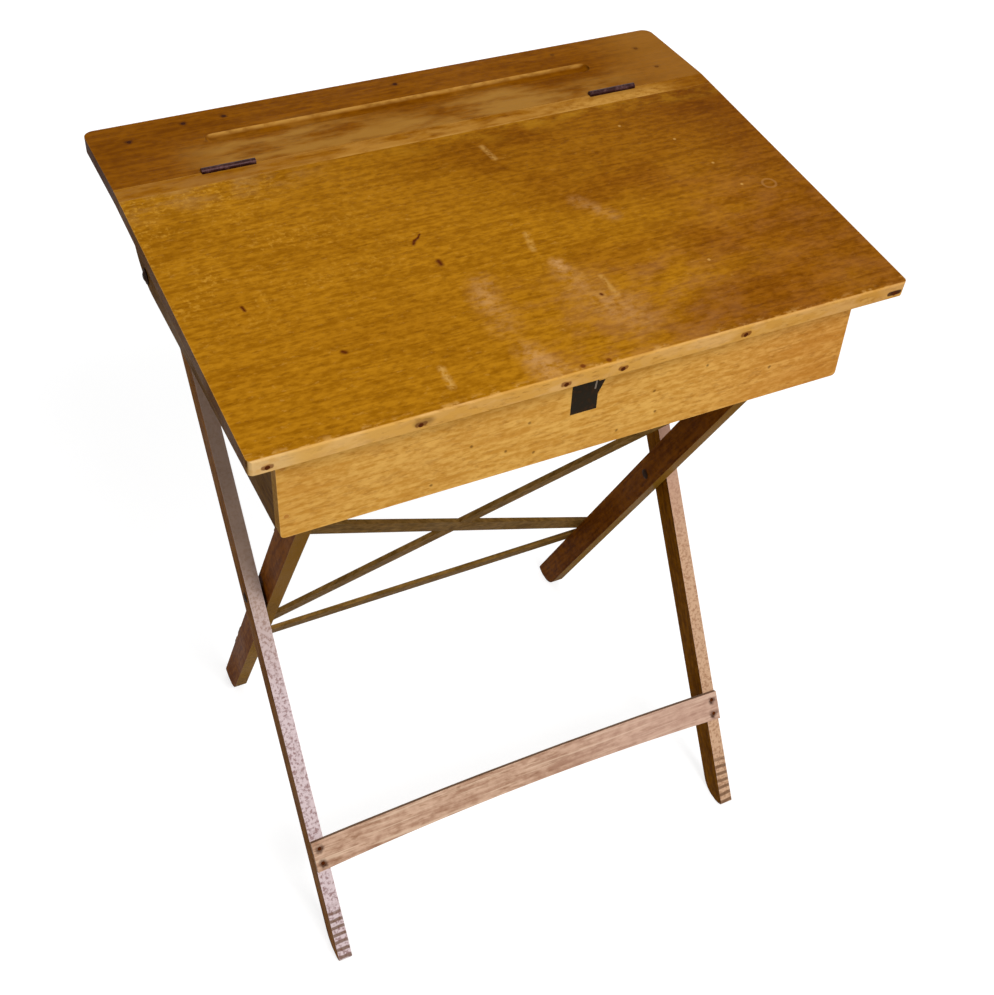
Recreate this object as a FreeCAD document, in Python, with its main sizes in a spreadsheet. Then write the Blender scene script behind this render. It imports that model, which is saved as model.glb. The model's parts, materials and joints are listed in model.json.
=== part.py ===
import FreeCAD, Part
import os
import Sketcher

# A folding school desk: a shallow box with a sloping lift lid, standing on crossed folding legs.
# X runs to the right, Y to the rear and Z up. The origin is on the floor under the middle of the top.
# The lid opens on two butt hinges. The outer legs swing on pins in the box sides, and the inner legs
# turn on rivets where the legs cross. All sizes are in millimetres.

SIZES = {
    # Top: a level rail along the back and a lid that slopes down to the front
    "top_width": 600,
    "top_depth": 455,
    "top_thickness": 15,
    "rail_depth": 107,
    "rail_height": 780,
    "lid_fall": 31,
    "rail_corner_radius": 10,
    "seam_gap": 0.6,
    "lid_clearance": 0.3,
    "lid_strip_width": 18.5,
    "lipping_width": 8,
    "lipping_round": 2.5,
    "lid_corner_radius": 5,
    # Pen groove, a cove along the rail with ball-shaped ends
    "groove_inset": 100,
    "groove_width": 18,
    "groove_depth": 4.5,
    "groove_setback": 44,
    # Box under the top
    "side_overhang": 29,
    "wall_thickness": 12,
    "front_overhang": 29,
    "rear_overhang": 11,
    "side_height": 131,
    "side_corner_radius": 54,
    "panel_corner_radius": 4,
    "bottom_thickness": 6,
    "housing_depth": 5,
    "bearer_thickness": 13,
    "bearer_height": 24,
    # Lock plate let into the front panel
    "plate_width": 25,
    "plate_height": 58,
    "plate_thickness": 1.5,
    "plate_let_in": 1,
    "plate_ear_width": 6,
    "plate_ear_height": 13,
    "plate_ear_drop": 29,
    # Legs: flat battens with a rounded top and a rounded heel
    "leg_width": 31,
    "leg_thickness": 15,
    "pivot_rise": 14,
    "pivot_inset": 40,
    "outer_leg_reach": 337,
    "inner_leg_reach": 330,
    "heel_radius": 26,
    "toe_radius": 3,
    "foot_flat": 0.6,
    "seat_clearance": 0.3,
    # Stretcher across the outer legs, with bowed edges
    "stretcher_width": 35,
    "stretcher_thickness": 5,
    "stretcher_rise": 112,
    "stretcher_top_bow": 5,
    "stretcher_foot_bow": 9,
    # Crossed slats and lower rail on the inner legs
    "slat_width": 23,
    "slat_thickness": 5,
    "slat_setback": 3,
    "lower_rail_rise": 125,
    "brace_low_rise": 178.5,
    "brace_high_rise": 571.5,
    # Leg pivots, spacers and crossing rivets
    "pivot_diameter": 6,
    "pivot_head_diameter": 13,
    "pivot_head_thickness": 3.5,
    "pivot_dome_height": 1.8,
    "spacer_thickness": 5,
    "spacer_diameter": 18,
    "washer_diameter": 16,
    "washer_thickness": 1.5,
    "crossing_gap": 3,
    "rivet_diameter": 6,
    "rivet_head_diameter": 12,
    "rivet_head_height": 1.5,
    "side_clearance": 0.2,
    "running_clearance": 0.05,
    # Butt hinges standing on edge in the seam
    "hinge_length": 50,
    "hinge_inset": 104,
    "hinge_axis_rise": 1,
    "barrel_diameter": 6,
    "pin_diameter": 3,
    "leaf_thickness": 1.5,
    "leaf_height": 11,
    "leaf_gap": 0.1,
    "middle_knuckle": 20,
    "knuckle_gap": 0.2,
    "barrel_relief": 0.3,
    # Nails and screws
    "nail_diameter": 2,
    "nail_head_diameter": 4.4,
    "nail_head_thickness": 1,
    "nail_length": 34,
    "tack_length": 19,
    "screw_diameter": 2.5,
    "screw_head_diameter": 5,
    "screw_head_thickness": 1.4,
    "screw_length": 14,
    # Extra length that carries a cutting shape past the faces it cuts
    "overrun": 5,
}

# Places and sizes worked out from the driving dimensions
FITS = {
    "front_y": "-sizes.top_depth / 2",
    "rear_y": "sizes.top_depth / 2",
    "seam_y": "rear_y - sizes.rail_depth",
    "lid_run": "sizes.top_depth - sizes.rail_depth",
    "lid_slope": "atan(sizes.lid_fall / lid_run)",
    "lid_length": "lid_run / cos(lid_slope)",
    "lid_bevel": "sizes.top_thickness * tan(lid_slope)",
    "lid_seat": "sizes.rail_height - sizes.top_thickness / cos(lid_slope) - sizes.lid_clearance",
    "rail_under": "sizes.rail_height - sizes.top_thickness",
    "groove_y": "rear_y - sizes.groove_setback - sizes.groove_width / 2",
    "groove_ball_out": "sizes.top_width / 2 - sizes.groove_inset - sizes.groove_width / 2",
    "groove_radius": "(sizes.groove_width ^ 2 / 4 + sizes.groove_depth ^ 2) / (2 * sizes.groove_depth)",
    "groove_axis_z": "sizes.rail_height + groove_radius - sizes.groove_depth",
    "panel_front": "front_y + sizes.front_overhang",
    "panel_back": "panel_front + sizes.wall_thickness",
    "box_rear": "rear_y - sizes.rear_overhang",
    "box_width": "sizes.top_width - 2 * sizes.side_overhang",
    "wall_out": "box_width / 2",
    "wall_in": "wall_out - sizes.wall_thickness",
    "wall_middle": "wall_out - sizes.wall_thickness / 2",
    "front_panel_top": "lid_seat + (panel_front - seam_y) * tan(lid_slope)",
    "panel_back_top": "lid_seat + (panel_back - seam_y) * tan(lid_slope)",
    "skirt_height": "rail_under - sizes.side_height",
    "pivot_height": "skirt_height + sizes.pivot_rise",
    "bottom_under": "pivot_height + sizes.leg_width / 2 + sizes.seat_clearance",
    "bottom_top": "bottom_under + sizes.bottom_thickness",
    "pivot_y": "box_rear - sizes.pivot_inset",
    "bearer_back": "panel_back + sizes.bearer_thickness",
    "tip_y": "bearer_back + sizes.seat_clearance + sizes.leg_width / 2",
    "leg_span": "pivot_y - tip_y",
    "outer_angle": "acos((leg_span ^ 2 + sizes.outer_leg_reach ^ 2 - sizes.inner_leg_reach ^ 2)"
                   " / (2 * leg_span * sizes.outer_leg_reach))",
    "inner_angle": "acos((leg_span ^ 2 + sizes.inner_leg_reach ^ 2 - sizes.outer_leg_reach ^ 2)"
                   " / (2 * leg_span * sizes.inner_leg_reach))",
    "cross_y": "pivot_y - sizes.outer_leg_reach * cos(outer_angle)",
    "cross_z": "pivot_height - sizes.outer_leg_reach * sin(outer_angle)",
    "outer_lean": "outer_angle - 90 deg",
    "inner_lean": "90 deg - inner_angle",
    "heel_offset": "sizes.heel_radius - sizes.leg_width / 2",
    "heel_rise": "sizes.heel_radius - sizes.foot_flat",
    "outer_lower": "(cross_z + heel_offset * cos(outer_angle) - heel_rise) / sin(outer_angle)"
                   " + sizes.heel_radius",
    "inner_lower": "(cross_z + heel_offset * cos(inner_angle) - heel_rise) / sin(inner_angle)"
                   " + sizes.heel_radius",
    "outer_leg_out": "wall_in - sizes.spacer_thickness",
    "outer_leg_in": "outer_leg_out - sizes.leg_thickness",
    "inner_leg_out": "outer_leg_in - sizes.crossing_gap",
    "inner_leg_in": "inner_leg_out - sizes.leg_thickness",
    "stretcher_low": "sizes.stretcher_rise - outer_lower",
    "stretcher_high": "stretcher_low + sizes.stretcher_width",
    "top_bow_radius": "(outer_leg_out ^ 2 + sizes.stretcher_top_bow ^ 2)"
                      " / (2 * sizes.stretcher_top_bow)",
    "foot_bow_radius": "(outer_leg_out ^ 2 + sizes.stretcher_foot_bow ^ 2)"
                       " / (2 * sizes.stretcher_foot_bow)",
    "lower_rail_low": "sizes.lower_rail_rise - inner_lower",
    "lower_rail_high": "lower_rail_low + sizes.slat_width",
    "brace_low": "sizes.brace_low_rise - inner_lower",
    "brace_high": "sizes.brace_high_rise - inner_lower",
    "slat_out": "inner_leg_out - sizes.slat_setback",
    "brace_angle": "atan((brace_high - brace_low) / (2 * slat_out))",
    "brace_half_end": "sizes.slat_width / cos(brace_angle) / 2",
    "hinge_middle": "sizes.top_width / 2 - sizes.hinge_inset",
    "axis_z": "sizes.rail_height + sizes.hinge_axis_rise",
    "leaf_top": "axis_z - sizes.barrel_diameter / 2 - sizes.knuckle_gap",
    "leaf_foot": "leaf_top - sizes.leaf_height",
    "leaf_face": "sizes.leaf_gap / 2",
    "leaf_back": "leaf_face + sizes.leaf_thickness",
    "outer_knuckle": "(sizes.hinge_length - sizes.middle_knuckle) / 2 - sizes.knuckle_gap",
    "plate_top": "front_panel_top - sizes.lid_clearance",
    "plate_foot": "plate_top - sizes.plate_height",
    "ear_top": "plate_top - sizes.plate_ear_drop",
    "ear_foot": "ear_top - sizes.plate_ear_height",
}

# Nail places, as shares of the half width or of the depth, width, height or thickness that they follow
REAR_NAIL_SHARES = (-0.7, -0.57, 0.01, 0.59)
LEFT_RAIL_NAIL_SHARES = (0.7,)
RIGHT_RAIL_NAIL_SHARES = (0.27, 0.67)
LIPPING_NAIL_SHARES = (-0.95, -0.54, -0.12, 0.053, 0.447, 0.963)
LIPPING_DROP_SHARE = 0.7
PANEL_NAIL_SHARES = (0.22, 0.72)
BOTTOM_NAIL_SHARES = (-0.6, 0, 0.6)
BEARER_NAIL_SHARES = (-0.65, 0, 0.65)
STRETCHER_NAIL_SHARES = (0.25, 0.75)
HINGE_SCREW_SHARES = (-0.32, 0.32)
LEAF_MIDDLE_SHARE = 0.5

X_AXIS = FreeCAD.Vector(1, 0, 0)
Y_AXIS = FreeCAD.Vector(0, 1, 0)
Z_AXIS = FreeCAD.Vector(0, 0, 1)
SIDES = {"left": -1, "right": 1}

# Where each group of pieces is drawn: the Y and Z of its own origin, and its lean about X
FRAMES = {
    "box": ("0", "0", "0 deg"),
    "lid": ("fits.seam_y", "sizes.rail_height", "fits.lid_slope"),
    "outer": ("fits.cross_y", "fits.cross_z", "fits.outer_lean"),
    "inner": ("fits.cross_y", "fits.cross_z", "fits.inner_lean"),
}

doc = FreeCAD.newDocument("FoldingSchoolDesk")
nodes = {}


def fill_sheet(name, cells, prefix):
    """A sheet with one named cell for each entry."""
    sheet = doc.addObject("Spreadsheet::Sheet", name)
    for row, (alias, value) in enumerate(cells.items(), start=1):
        sheet.set(f"A{row}", alias)
        sheet.set(f"B{row}", f"{prefix}{value}")
        sheet.setAlias(f"B{row}", alias)
    doc.recompute()
    return sheet


sizes = fill_sheet("sizes", SIZES, "")
fits = fill_sheet("fits", FITS, "=")


def number(expression):
    """The plain value of an expression over the two sheets."""
    value = fits.evalExpression(expression)
    return float(getattr(value, "Value", value))


def vector(x, y, z):
    return FreeCAD.Vector(number(x), number(y), number(z))


def bind(thing, **expressions):
    for name, expression in expressions.items():
        thing.setExpression(name, expression)


def bind_base(thing, x, y, z):
    for axis, expression in zip("xyz", (x, y, z)):
        thing.setExpression(f"Placement.Base.{axis}", expression)


def stand(thing, frame, x="0"):
    """Place a piece in the frame of its group, moved along X."""
    y, z, lean = FRAMES[frame]
    thing.Placement = FreeCAD.Placement(FreeCAD.Vector(), FreeCAD.Rotation(X_AXIS, number(lean)))
    bind_base(thing, x, y, z)
    if frame != "box":
        thing.setExpression("Placement.Rotation.Angle", lean)


def frame_placement(frame):
    y, z, lean = FRAMES[frame]
    return FreeCAD.Placement(vector("0", y, z), FreeCAD.Rotation(X_AXIS, number(lean)))


def keep(label, thing):
    """Make a finished piece a named node."""
    thing.Label = label
    nodes[label] = thing
    return thing


# Sketches

def new_body(name, frame, x="0"):
    body = doc.addObject("PartDesign::Body", name + "_body")
    stand(body, frame, x)
    return body


def new_sketch(body, plane, offset="0"):
    sketch = body.newObject("Sketcher::SketchObject", body.Name + "_sketch")
    support = [item for item in body.Origin.OriginFeatures if item.Role == plane]
    sketch.AttachmentSupport = [(support[0], "")]
    sketch.MapMode = "FlatFace"
    sketch.setExpression("AttachmentOffset.Base.z", offset)
    return sketch


def measure(sketch, kind, geometry, point, expression):
    """Hold a point of the sketch at a distance from the sketch's origin."""
    constraint = Sketcher.Constraint(kind, -1, 1, geometry, point, number(expression))
    index = sketch.addConstraint(constraint)
    sketch.setExpression(f"Constraints[{index}]", expression)


def set_radius(sketch, geometry, expression):
    index = sketch.addConstraint(Sketcher.Constraint("Radius", geometry, number(expression)))
    sketch.setExpression(f"Constraints[{index}]", expression)


def fix_point(sketch, geometry, point, across, up):
    measure(sketch, "DistanceX", geometry, point, across)
    measure(sketch, "DistanceY", geometry, point, up)


def draw_outline(sketch, corners):
    """A closed outline of straight lines through corners given as expressions."""
    points = [vector(across, up, "0") for across, up in corners]
    lines = []
    for start, end in zip(points, points[1:] + points[:1]):
        lines.append(sketch.addGeometry(Part.LineSegment(start, end), False))
    for line, following in zip(lines, lines[1:] + lines[:1]):
        sketch.addConstraint(Sketcher.Constraint("Coincident", line, 2, following, 1))
    for line, (across, up) in zip(lines, corners):
        fix_point(sketch, line, 1, across, up)


def draw_hole(sketch, up, radius):
    """A round hole on the upright axis of the sketch."""
    circle = Part.Circle(vector("0", up, "0"), Z_AXIS, number(radius))
    index = sketch.addGeometry(circle, False)
    fix_point(sketch, index, 3, "0", up)
    set_radius(sketch, index, radius)


def pad(body, sketch, length, backwards=False):
    feature = body.newObject("PartDesign::Pad", body.Name + "_pad")
    feature.Profile = sketch
    feature.Reversed = backwards
    feature.setExpression("Length", length)
    doc.recompute()
    return feature


def round_edges(body, feature, radius, direction, *places):
    """Round the edges along a direction that pass through the given places, in the body's frame."""
    names = []
    for index, edge in enumerate(feature.Shape.Edges, start=1):
        along = edge.tangentAt(edge.FirstParameter)
        if abs(along.dot(direction)) < 1 - 1e-6:
            continue
        middle = edge.CenterOfMass
        offsets = [middle - place for place in places]
        nearest = min((offset - direction * offset.dot(direction)).Length for offset in offsets)
        if nearest < number("sizes.running_clearance"):
            names.append(f"Edge{index}")
    fillet = body.newObject("PartDesign::Fillet", body.Name + "_round")
    fillet.Base = (feature, names)
    fillet.setExpression("Radius", radius)
    doc.recompute()
    return fillet


def board(name, frame, corners, x, length):
    """A board whose side profile, drawn in Y and Z, runs along X."""
    body = new_body(name, frame, x)
    sketch = new_sketch(body, "YZ_Plane")
    draw_outline(sketch, corners)
    return body, pad(body, sketch, length)


def rectangle(low_across, low_up, high_across, high_up):
    return [(low_across, low_up), (high_across, low_up), (high_across, high_up), (low_across, high_up)]


# Solids of turned and plain hardware

def rod(name, x, y, z, length, radius):
    """A round bar along X."""
    cylinder = doc.addObject("Part::Cylinder", name)
    cylinder.Placement = FreeCAD.Placement(FreeCAD.Vector(), FreeCAD.Rotation(Y_AXIS, 90))
    bind(cylinder, Radius=radius, Height=length)
    bind_base(cylinder, x, y, z)
    return cylinder


def ball(name, x, y, z, radius):
    sphere = doc.addObject("Part::Sphere", name)
    sphere.Placement = FreeCAD.Placement(FreeCAD.Vector(), FreeCAD.Rotation(Y_AXIS, 90))
    bind(sphere, Radius=radius)
    bind_base(sphere, x, y, z)
    return sphere


def block(name, low, high):
    """A box between two corners, each given as three expressions."""
    box = doc.addObject("Part::Box", name)
    spans = [f"({end}) - ({start})" for start, end in zip(low, high)]
    bind(box, Length=spans[0], Width=spans[1], Height=spans[2])
    bind_base(box, *low)
    return box


def subtract(base, *tools):
    """Cut each tool out of a piece, one after another."""
    for tool in tools:
        cut = doc.addObject("Part::Cut", base.Name + "_cut")
        cut.Base = base
        cut.Tool = tool
        base = cut
    doc.recompute()
    return base


def unite(name, *pieces):
    fuse = doc.addObject("Part::MultiFuse", name)
    fuse.Shapes = list(pieces)
    return fuse


def overlap(name, base, tool):
    """The part of a piece that lies inside a tool."""
    common = doc.addObject("Part::Common", name)
    common.Base = base
    common.Tool = tool
    return common


def group(label, pieces):
    """Separate solids that share one node."""
    compound = doc.addObject("Part::Compound", label + "_group")
    compound.Links = pieces
    doc.recompute()
    return keep(label, compound)


def mirrored_x(sign, low, high):
    """The lower X face of a piece that lies between two distances from the middle plane."""
    return low if sign > 0 else f"-({high})"


def collar(name, sign, low, high, y, z, radius, bore):
    """A washer or spacer between two distances from the middle plane."""
    x = mirrored_x(sign, low, high)
    length = f"({high}) - ({low})"
    disc = rod(name + "_disc", x, y, z, length, radius)
    return subtract(disc, rod(name + "_bore", x, y, z, length, bore))


# Nails and screws, driven from a point along a direction

def driven(frame, point, direction, shape):
    """A fastener drawn along +Z, turned to its direction and set at its point in a frame."""
    turned = shape.copy()
    turned.Placement = FreeCAD.Placement(point, FreeCAD.Rotation(Z_AXIS, direction))
    turned.Placement = frame_placement(frame).multiply(turned.Placement)
    return turned


def nail_shape(length):
    head_radius = number("sizes.nail_head_diameter / 2")
    head = Part.makeCylinder(head_radius, number("sizes.nail_head_thickness"))
    shank = Part.makeCylinder(number("sizes.nail_diameter / 2"), number(length))
    return head.fuse(shank).removeSplitter().Solids[0]


def screw_shape():
    head_radius = number("sizes.screw_head_diameter / 2")
    shank_radius = number("sizes.screw_diameter / 2")
    head = Part.makeCone(head_radius, shank_radius, number("sizes.screw_head_thickness"))
    shank = Part.makeCylinder(shank_radius, number("sizes.screw_length"))
    return head.fuse(shank).removeSplitter().Solids[0]


def fasteners(label, frame, shape, places):
    """One node for alike fasteners: places holds pairs of a point and a direction."""
    feature = doc.addObject("Part::Feature", label + "_set")
    solids = [driven(frame, point, direction, shape) for point, direction in places]
    feature.Shape = Part.makeCompound(solids)
    return keep(label, feature)


# Nail and screw sets, made first because their boards are cut to take them

half_width = number("sizes.top_width / 2")
wall_middle = number("fits.wall_middle")
rail_front = number("fits.seam_y")
rail_depth = number("sizes.rail_depth")
rear_panel_y = number("fits.box_rear - sizes.wall_thickness / 2")
rail_top = number("sizes.rail_height")
nail = nail_shape("sizes.nail_length")
tack = nail_shape("sizes.tack_length")

rail_places = [FreeCAD.Vector(share * half_width, rear_panel_y, rail_top) for share in REAR_NAIL_SHARES]
for share in LEFT_RAIL_NAIL_SHARES:
    rail_places.append(FreeCAD.Vector(-wall_middle, rail_front + share * rail_depth, rail_top))
for share in RIGHT_RAIL_NAIL_SHARES:
    rail_places.append(FreeCAD.Vector(wall_middle, rail_front + share * rail_depth, rail_top))
rail_nails = fasteners("rail_nails", "box", nail, [(place, -Z_AXIS) for place in rail_places])

panel_front = number("fits.panel_front")
skirt = number("fits.skirt_height")
panel_height = number("fits.front_panel_top") - skirt
panel_places = []
for sign in SIDES.values():
    for share in PANEL_NAIL_SHARES:
        panel_places.append(FreeCAD.Vector(sign * wall_middle, panel_front, skirt + share * panel_height))
panel_nails = fasteners("front_panel_nails", "box", nail, [(place, Y_AXIS) for place in panel_places])

half_box = number("fits.wall_out")
bottom_places = []
for share in BOTTOM_NAIL_SHARES:
    bottom_places.append(FreeCAD.Vector(share * half_box, rear_panel_y, number("fits.bottom_under")))
bottom_nails = fasteners("bottom_nails", "box", tack, [(place, Z_AXIS) for place in bottom_places])

bearer_middle = number("fits.bottom_under - sizes.bearer_height / 2")
bearer_places = []
for share in BEARER_NAIL_SHARES:
    bearer_places.append(FreeCAD.Vector(share * half_box, number("fits.bearer_back"), bearer_middle))
bearer_nails = fasteners("bearer_nails", "box", tack, [(place, -Y_AXIS) for place in bearer_places])

lid_front = number("-fits.lid_length")
lipping_drop = LIPPING_DROP_SHARE * number("-sizes.top_thickness")
lipping_places = []
for share in LIPPING_NAIL_SHARES:
    lipping_places.append(FreeCAD.Vector(share * half_width, lid_front, lipping_drop))
lipping_nails = fasteners("lipping_nails", "lid", nail, [(place, Y_AXIS) for place in lipping_places])

stretcher_face = number("-sizes.leg_width / 2 - sizes.stretcher_thickness")
outer_leg_middle = number("fits.outer_leg_in + sizes.leg_thickness / 2")
stretcher_places = []
for sign in SIDES.values():
    for share in STRETCHER_NAIL_SHARES:
        height = number("fits.stretcher_low") + share * number("sizes.stretcher_width")
        stretcher_places.append(FreeCAD.Vector(sign * outer_leg_middle, stretcher_face, height))
stretcher_drives = [(place, Y_AXIS) for place in stretcher_places]
stretcher_nails = fasteners("stretcher_nails", "outer", tack, stretcher_drives)

slat_face = number("sizes.leg_width / 2 + sizes.slat_thickness")
inner_leg_middle = number("fits.inner_leg_in + sizes.leg_thickness / 2")
brace_places = []
for sign in SIDES.values():
    for height in ("fits.lower_rail_low + sizes.slat_width / 2", "fits.brace_low", "fits.brace_high"):
        brace_places.append(FreeCAD.Vector(sign * inner_leg_middle, slat_face, number(height)))
brace_nails = fasteners("brace_nails", "inner", tack, [(place, -Y_AXIS) for place in brace_places])

hinge_middle = number("fits.hinge_middle")
screw_height = number("fits.leaf_foot") + LEAF_MIDDLE_SHARE * number("sizes.leaf_height")
leaf_face = number("fits.leaf_face")
screw = screw_shape()


def hinge_screws(label, facing):
    places = []
    for sign in SIDES.values():
        for share in HINGE_SCREW_SHARES:
            x = sign * hinge_middle + share * number("sizes.hinge_length")
            place = FreeCAD.Vector(x, rail_front + facing * leaf_face, screw_height)
            places.append((place, Y_AXIS * facing))
    return fasteners(label, "box", screw, places)


rail_screws = hinge_screws("rail_hinge_screws", 1)
lid_screws = hinge_screws("lid_hinge_screws", -1)


# Hinges: two leaves on edge in the seam, knuckles over it, and a pin

def hinge_leaf(label, sign, facing, screws):
    """A leaf with its knuckles: the rail's leaf has the outer two, and the lid's has the middle one."""
    near, far = "fits.seam_y + fits.leaf_face", "fits.seam_y + fits.leaf_back"
    if facing < 0:
        near, far = "fits.seam_y - fits.leaf_back", "fits.seam_y - fits.leaf_face"
    middle = f"{sign} * fits.hinge_middle"
    start = f"{middle} - sizes.hinge_length / 2"
    end = f"{middle} + sizes.hinge_length / 2"
    spans = [(f"{middle} - sizes.middle_knuckle / 2", "sizes.middle_knuckle")]
    if facing > 0:
        spans = [(start, "fits.outer_knuckle"), (f"{end} - fits.outer_knuckle", "fits.outer_knuckle")]
    pieces = [block(label + "_plate", (start, near, "fits.leaf_foot"), (end, far, "fits.leaf_top"))]
    for place, length in spans:
        reach = f"{place} + {length}"
        pieces.append(block(label + "_neck", (place, near, "fits.leaf_top"), (reach, far, "fits.axis_z")))
        pieces.append(rod(label + "_knuckle", place, "fits.seam_y", "fits.axis_z", length,
                          "sizes.barrel_diameter / 2"))
    bore = rod(label + "_bore", f"{start} - sizes.overrun", "fits.seam_y", "fits.axis_z",
               "sizes.hinge_length + 2 * sizes.overrun", "sizes.pin_diameter / 2 + sizes.running_clearance")
    return keep(label, subtract(unite(label + "_leaf", *pieces), bore, screws))


def hinge_seat(name, sign, facing):
    """The mortise for a leaf and the hollow round the barrel, cut out of a board's edge."""
    middle = f"{sign} * fits.hinge_middle"
    start = f"{middle} - sizes.hinge_length / 2"
    end = f"{middle} + sizes.hinge_length / 2"
    seam, back = "fits.seam_y", "fits.seam_y + fits.leaf_back"
    if facing < 0:
        seam, back = "fits.seam_y - fits.leaf_back", "fits.seam_y"
    mortise = block(name + "_mortise", (start, seam, "fits.leaf_foot"), (end, back, "fits.axis_z"))
    hollow = rod(name + "_hollow", f"{start} - sizes.knuckle_gap", "fits.seam_y", "fits.axis_z",
                 "sizes.hinge_length + 2 * sizes.knuckle_gap",
                 "sizes.barrel_diameter / 2 + sizes.barrel_relief")
    return unite(name, mortise, hollow)


for side, sign in SIDES.items():
    hinge_leaf(side + "_hinge_rail_leaf", sign, 1, rail_screws)
    hinge_leaf(side + "_hinge_lid_leaf", sign, -1, lid_screws)
    pin_start = f"{sign} * fits.hinge_middle - sizes.hinge_length / 2"
    keep(side + "_hinge_pin", rod(side + "_pin", pin_start, "fits.seam_y", "fits.axis_z",
                                  "sizes.hinge_length", "sizes.pin_diameter / 2"))

# Lid: a wide board, a strip behind it that takes the hinges, and a lipping nailed along its front

rear_edge = ("-sizes.seam_gap / 2", "0")
rear_foot = ("-sizes.seam_gap / 2 - fits.lid_bevel", "-sizes.top_thickness")
strip_corners = [("-sizes.lid_strip_width", "-sizes.top_thickness"), rear_foot, rear_edge,
                 ("-sizes.lid_strip_width", "0")]
strip_body, strip_pad = board("strip", "lid", strip_corners, "-sizes.top_width / 2", "sizes.top_width")
strip_seats = [hinge_seat(side + "_lid_seat", sign, -1) for side, sign in SIDES.items()]
keep("lid_rear_strip", subtract(strip_body, *strip_seats, lid_screws))

panel_corners = rectangle("sizes.lipping_width - fits.lid_length", "-sizes.top_thickness",
                          "-sizes.lid_strip_width", "0")
lid_body, lid_pad = board("lid", "lid", panel_corners, "-sizes.top_width / 2", "sizes.top_width")
keep("lid_panel", subtract(lid_body, lipping_nails))

lipping_corners = rectangle("-fits.lid_length", "-sizes.top_thickness",
                            "sizes.lipping_width - fits.lid_length", "0")
lipping_body, lipping_pad = board("lipping", "lid", lipping_corners,
                                  "-sizes.top_width / 2", "sizes.top_width")
round_edges(lipping_body, lipping_pad, "sizes.lipping_round", X_AXIS, vector("0", "-fits.lid_length", "0"))
plan_body = new_body("lipping_plan", "lid", "-sizes.top_width / 2")
plan_sketch = new_sketch(plan_body, "XY_Plane", "-sizes.top_thickness")
draw_outline(plan_sketch, rectangle("0", "-fits.lid_length", "sizes.top_width",
                                    "sizes.lipping_width - fits.lid_length"))
plan_pad = pad(plan_body, plan_sketch, "sizes.top_thickness")
round_edges(plan_body, plan_pad, "sizes.lid_corner_radius", Z_AXIS,
            vector("0", "-fits.lid_length", "0"), vector("sizes.top_width", "-fits.lid_length", "0"))
rounded_lipping = overlap("rounded_lipping", lipping_body, plan_body)
keep("lid_lipping", subtract(rounded_lipping, lipping_nails))

# Rail along the back, with the pen groove

rail_corners = rectangle("fits.seam_y + sizes.seam_gap / 2", "fits.rail_under",
                         "fits.rear_y", "sizes.rail_height")
rail_body, rail_pad = board("rail", "box", rail_corners, "-sizes.top_width / 2", "sizes.top_width")
round_edges(rail_body, rail_pad, "sizes.rail_corner_radius", Z_AXIS,
            vector("0", "fits.rear_y", "0"), vector("sizes.top_width", "fits.rear_y", "0"))
groove_axis = ("fits.groove_y", "fits.groove_axis_z")
groove_bar = rod("groove_bar", "-fits.groove_ball_out", *groove_axis,
                 "2 * fits.groove_ball_out", "fits.groove_radius")
groove_left = ball("groove_left", "-fits.groove_ball_out", *groove_axis, "fits.groove_radius")
groove_right = ball("groove_right", "fits.groove_ball_out", *groove_axis, "fits.groove_radius")
groove = unite("pen_groove", groove_bar, groove_left, groove_right)
rail_seats = [hinge_seat(side + "_rail_seat", sign, 1) for side, sign in SIDES.items()]
keep("rear_rail", subtract(rail_body, groove, *rail_seats, rail_screws, rail_nails))

# Box: front panel across the ends of the sides, rear panel between them, and a bottom housed in grooves

bottom_corners = rectangle("fits.panel_back - sizes.housing_depth", "fits.bottom_under",
                           "fits.box_rear", "fits.bottom_top")
bottom_body, bottom_pad = board("bottom", "box", bottom_corners, "-fits.wall_in - sizes.housing_depth",
                                "2 * (fits.wall_in + sizes.housing_depth)")
keep("bottom_board", subtract(bottom_body, bottom_nails))

rear_corners = rectangle("fits.box_rear - sizes.wall_thickness", "fits.bottom_top",
                         "fits.box_rear", "fits.rail_under")
rear_body, rear_pad = board("rear", "box", rear_corners, "-fits.wall_in", "2 * fits.wall_in")
keep("rear_panel", subtract(rear_body, rail_nails, bottom_nails))

bearer_corners = rectangle("fits.panel_back", "fits.bottom_under - sizes.bearer_height",
                           "fits.bearer_back", "fits.bottom_under")
bearer_body, bearer_pad = board("bearer", "box", bearer_corners, "-fits.wall_in", "2 * fits.wall_in")
keep("front_bearer", subtract(bearer_body, bearer_nails))

plate_body = new_body("plate", "box")
plate_sketch = new_sketch(plate_body, "XZ_Plane", "-fits.panel_front - sizes.plate_let_in")
plate_side = "sizes.plate_width / 2"
draw_outline(plate_sketch, [
    ("-sizes.plate_width / 2", "fits.plate_foot"), (plate_side, "fits.plate_foot"),
    (plate_side, "fits.ear_foot"), (f"{plate_side} + sizes.plate_ear_width", "fits.ear_top"),
    (plate_side, "fits.ear_top"),
    (plate_side, "fits.plate_top"), ("-sizes.plate_width / 2", "fits.plate_top")])
pad(plate_body, plate_sketch, "sizes.plate_thickness")
plate = keep("lock_plate", plate_body)

front_corners = [("fits.panel_front", "fits.skirt_height"), ("fits.panel_back", "fits.skirt_height"),
                 ("fits.panel_back", "fits.panel_back_top"), ("fits.panel_front", "fits.front_panel_top")]
front_body, front_pad = board("front", "box", front_corners, "-fits.wall_out", "fits.box_width")
round_edges(front_body, front_pad, "sizes.panel_corner_radius", Y_AXIS,
            vector("0", "0", "fits.skirt_height"), vector("fits.box_width", "0", "fits.skirt_height"))
keep("front_panel", subtract(front_body, bottom_body, plate, panel_nails, bearer_nails))

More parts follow.
